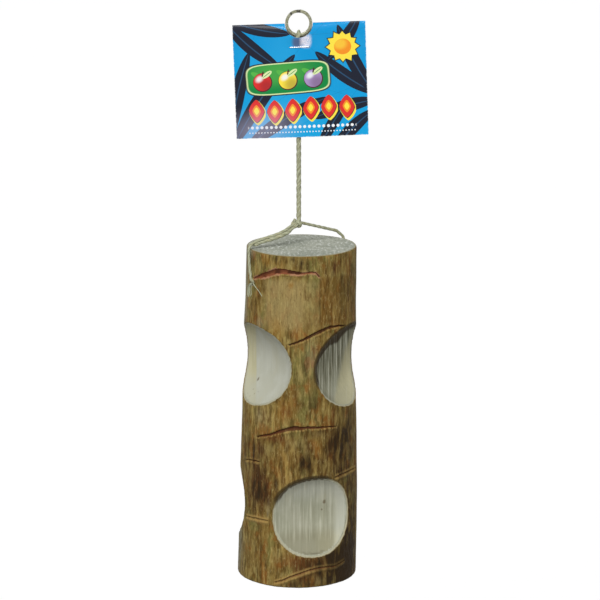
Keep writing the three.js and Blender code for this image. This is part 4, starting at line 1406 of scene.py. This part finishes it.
# Staple: bright flat wire through both leaves, clenched behind
steelFinish, shader = newFinish("stapleWire", {"Metallic": 1})
drawn = cloudy(objectPlace(), 2600.0, 2.0)
color = blendColor(spread(drawn, 0.4, 0.65), tint(214, 215, 217), tint(240, 240, 241))
feed(shader, {"Base Color": color, "Roughness": spread(drawn, 0.35, 0.65, 0.22, 0.4)})
reach = leafGap(0, staple["drop"]) + card["thickness"] + 0.1 + staple["wire"] / 2
z = -staple["drop"]
corners = [Vector(p) * mm for p in (
    (-legX + staple["clench"], reach + 0.25, z), (-legX, reach + 0.05, z), (-legX, -reach, z),
    (legX, -reach, z), (legX, reach + 0.05, z), (legX - staple["clench"], reach + 0.25, z))]


def squared(value):  # towards a square with round corners
    return math.copysign(abs(value) ** 0.7, value)


outline = []
for k in range(16):
    a = 2 * math.pi * k / 16
    outline.append((0.5 * squared(math.cos(a)), 0.44 * squared(math.sin(a))))
wireSection = flatSection("wireSection", outline)
points = resample(roundedRoute(corners, staple["bend"] * mm), staple["step"] * mm)[0]
stapleMesh = sweep("cardStaple", points, wireSection, [0] * len(points), [staple["wire"] * mm] * len(points))
stapleMesh = closeEnds(stapleMesh, staple["sharp"])
stapleMesh.transform(cardFrame)
keepPiece("cardStaple", stapleMesh, "card", "staple_metal", [steelFinish], "card_staple")

# Split ring: flat wire spun in two coils with a joggle between them
ring = {
    "inner": 6.6, "width": 1.9, "thick": 1.1, "gap": 0.32, "joggleMiddle": 108, "joggleSpan": 40, "relief": 3,
    "corner": 0.3, "coilSteps": 110, "joggleSteps": 22, "sharp": 60, "marks": (86, 96, 129), "markWidth": 5,
}
bm = bmesh.new()
bmesh.ops.create_grid(bm, x_segments=1, y_segments=1, size=0.5)
bmesh.ops.scale(bm, verts=bm.verts, vec=(ring["width"] * mm, ring["thick"] * mm, 1))
bmesh.ops.bevel(bm, geom=bm.verts, offset=ring["corner"] * mm, affect="VERTICES", segments=4, profile=0.5,
                material=-1)
start = ring["joggleMiddle"] + ring["joggleSpan"] / 2
coilOffset = (ring["thick"] + ring["gap"]) / 2
bmesh.ops.translate(bm, verts=bm.verts, vec=((ring["inner"] + ring["width"] / 2) * mm, -coilOffset * mm, 0))
turnBy = -math.radians(start + ring["relief"])
bmesh.ops.rotate(bm, verts=bm.verts, matrix=Matrix.Rotation(turnBy, 3, "Y"))
coilArc = 360 - ring["joggleSpan"] - ring["relief"]
last = list(bm.verts) + list(bm.edges) + list(bm.faces)
coil = (coilArc, 0, ring["coilSteps"])
for arc, rise, steps in (coil, (ring["joggleSpan"], 2 * coilOffset, ring["joggleSteps"]), coil):
    for k in range(steps):
        share = smooth((k + 1) / steps) - smooth(k / steps)
        made = bmesh.ops.spin(bm, geom=last, cent=(0, 0, 0), axis=(0, -1, 0), dvec=(0, rise * share * mm, 0),
                              angle=math.radians(arc / steps), steps=1)
        last = made["geom_last"]
bmesh.ops.remove_doubles(bm, verts=bm.verts, dist=1e-6)
bmesh.ops.recalc_face_normals(bm, faces=bm.faces)
bmesh.ops.translate(bm, verts=bm.verts, vec=ringCentre)
ringMesh = meshOf(bm, "splitRing", ring["sharp"])
# dark reflections painted at the joggle ends
ringMarks = []
for v in ringMesh.vertices:
    turn = math.degrees(math.atan2(v.co.z - ringCentre.z, v.co.x))
    ringMarks.append(sum(bell((turn - at) / ring["markWidth"]) for at in ring["marks"]))
paint(ringMesh, "joggleReflection", ringMarks)
nickelFinish, shader = newFinish("nickelWire", {"Metallic": 1})
place = objectPlace()
drawn = cloudy(place, 1500.0, 3.0)
dull = cloudy(place, 260.0, 3.0)
color = blendColor(spread(drawn, 0.4, 0.62), tint(128, 128, 106), tint(168, 168, 146))
color = layTones(color, [
    (spread(dull, 0.5, 0.7, 0, 0.6), (96, 92, 70)),
    # painted dark reflections at the joggle ends
    (mask("joggleReflection", 0.1, 0.9, 0, 0.85), (48, 46, 44)),
])
feed(shader, {"Base Color": color, "Roughness": spread(dull, 0.35, 0.7, 0.2, 0.46)})
joinBump(shader, drawn, 0.02, 0.3)
keepPiece("splitRing", ringMesh, "ring", "ring_metal", [nickelFinish], "hang_ring")
print("ring, card and staple made")
for section in (plySection, wireSection):
    bpy.data.objects.remove(section)

# Studio: pale floor under the hanging toy, white surroundings, a broad lamp upper left and a weak one right
studio = {
    "floorZ": -0.9, "floorSize": 26, "floorTone": 0.3, "floorGlow": 0.735, "world": 0.4,
    "key": 2.8, "keyTurn": -14, "keyRise": 34, "keyAngle": 30,
    "fill": 2, "fillAt": (1.2, -1.0, 0.2), "fillSize": 1.2, "aim": (0, 0, -0.22),
}
bm = bmesh.new()
bmesh.ops.create_grid(bm, x_segments=8, y_segments=8, size=studio["floorSize"] / 2)
bmesh.ops.translate(bm, verts=bm.verts, vec=(0, 0, studio["floorZ"]))
floor = linked("studioFloor", meshOf(bm, "studioFloor"))
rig.stage(floor)


def seenRay():  # one for rays that show the surroundings, none for rays that light the toy
    paths = add("ShaderNodeLightPath").outputs
    seen = math2("MAXIMUM", paths["Is Glossy Ray"], paths["Is Transmission Ray"])
    return math2("MAXIMUM", paths["Is Camera Ray"], seen)


floorFinish, shader = newFinish("paleFloor", {
    "Base Color": (studio["floorTone"],) * 3 + (1,), "Roughness": 0.9, "Specular IOR Level": 0,
    "Emission Color": (1, 1, 1, 1)})
feed(shader, {"Emission Strength": over(seenRay(), studio["floorGlow"])})
floor.data.materials.append(floorFinish)

world = bpy.data.worlds.new("studioWorld")
scene.world = world
world.use_nodes = True
tree = world.node_tree
tree.nodes.clear()
ambient = add("ShaderNodeBackground", {"Color": (1, 1, 1, 1), "Strength": studio["world"]})
white = add("ShaderNodeBackground", {"Color": (1, 1, 1, 1), "Strength": 1.0})
mixed = add("ShaderNodeMixShader", {0: seenRay(), 1: ambient.outputs[0], 2: white.outputs[0]})
add("ShaderNodeOutputWorld", {0: mixed.outputs[0]})


def placeLamp(name, kind, energy, at, aim):
    lampData = bpy.data.lights.new(name, kind)
    lampData.energy = energy
    lamp = linked(name, lampData)
    lamp.location = at
    lamp.rotation_euler = (Vector(aim) - Vector(at)).to_track_quat("-Z", "Y").to_euler()
    return lampData


turn, rise = math.radians(studio["keyTurn"]), math.radians(studio["keyRise"])
keyWay = Vector((math.sin(turn) * math.cos(rise), -math.cos(turn) * math.cos(rise), math.sin(rise)))
placeLamp("keyLamp", "SUN", studio["key"], keyWay * 3, (0, 0, 0)).angle = math.radians(studio["keyAngle"])
placeLamp("fillLamp", "AREA", studio["fill"], studio["fillAt"], studio["aim"]).size = studio["fillSize"]
print("studio lit")

low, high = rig.bounds()
with open("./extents.json", "w") as f:
    json.dump({"cad": [list(cadLow), list(cadHigh)], "visual": [list(low), list(high)]}, f)
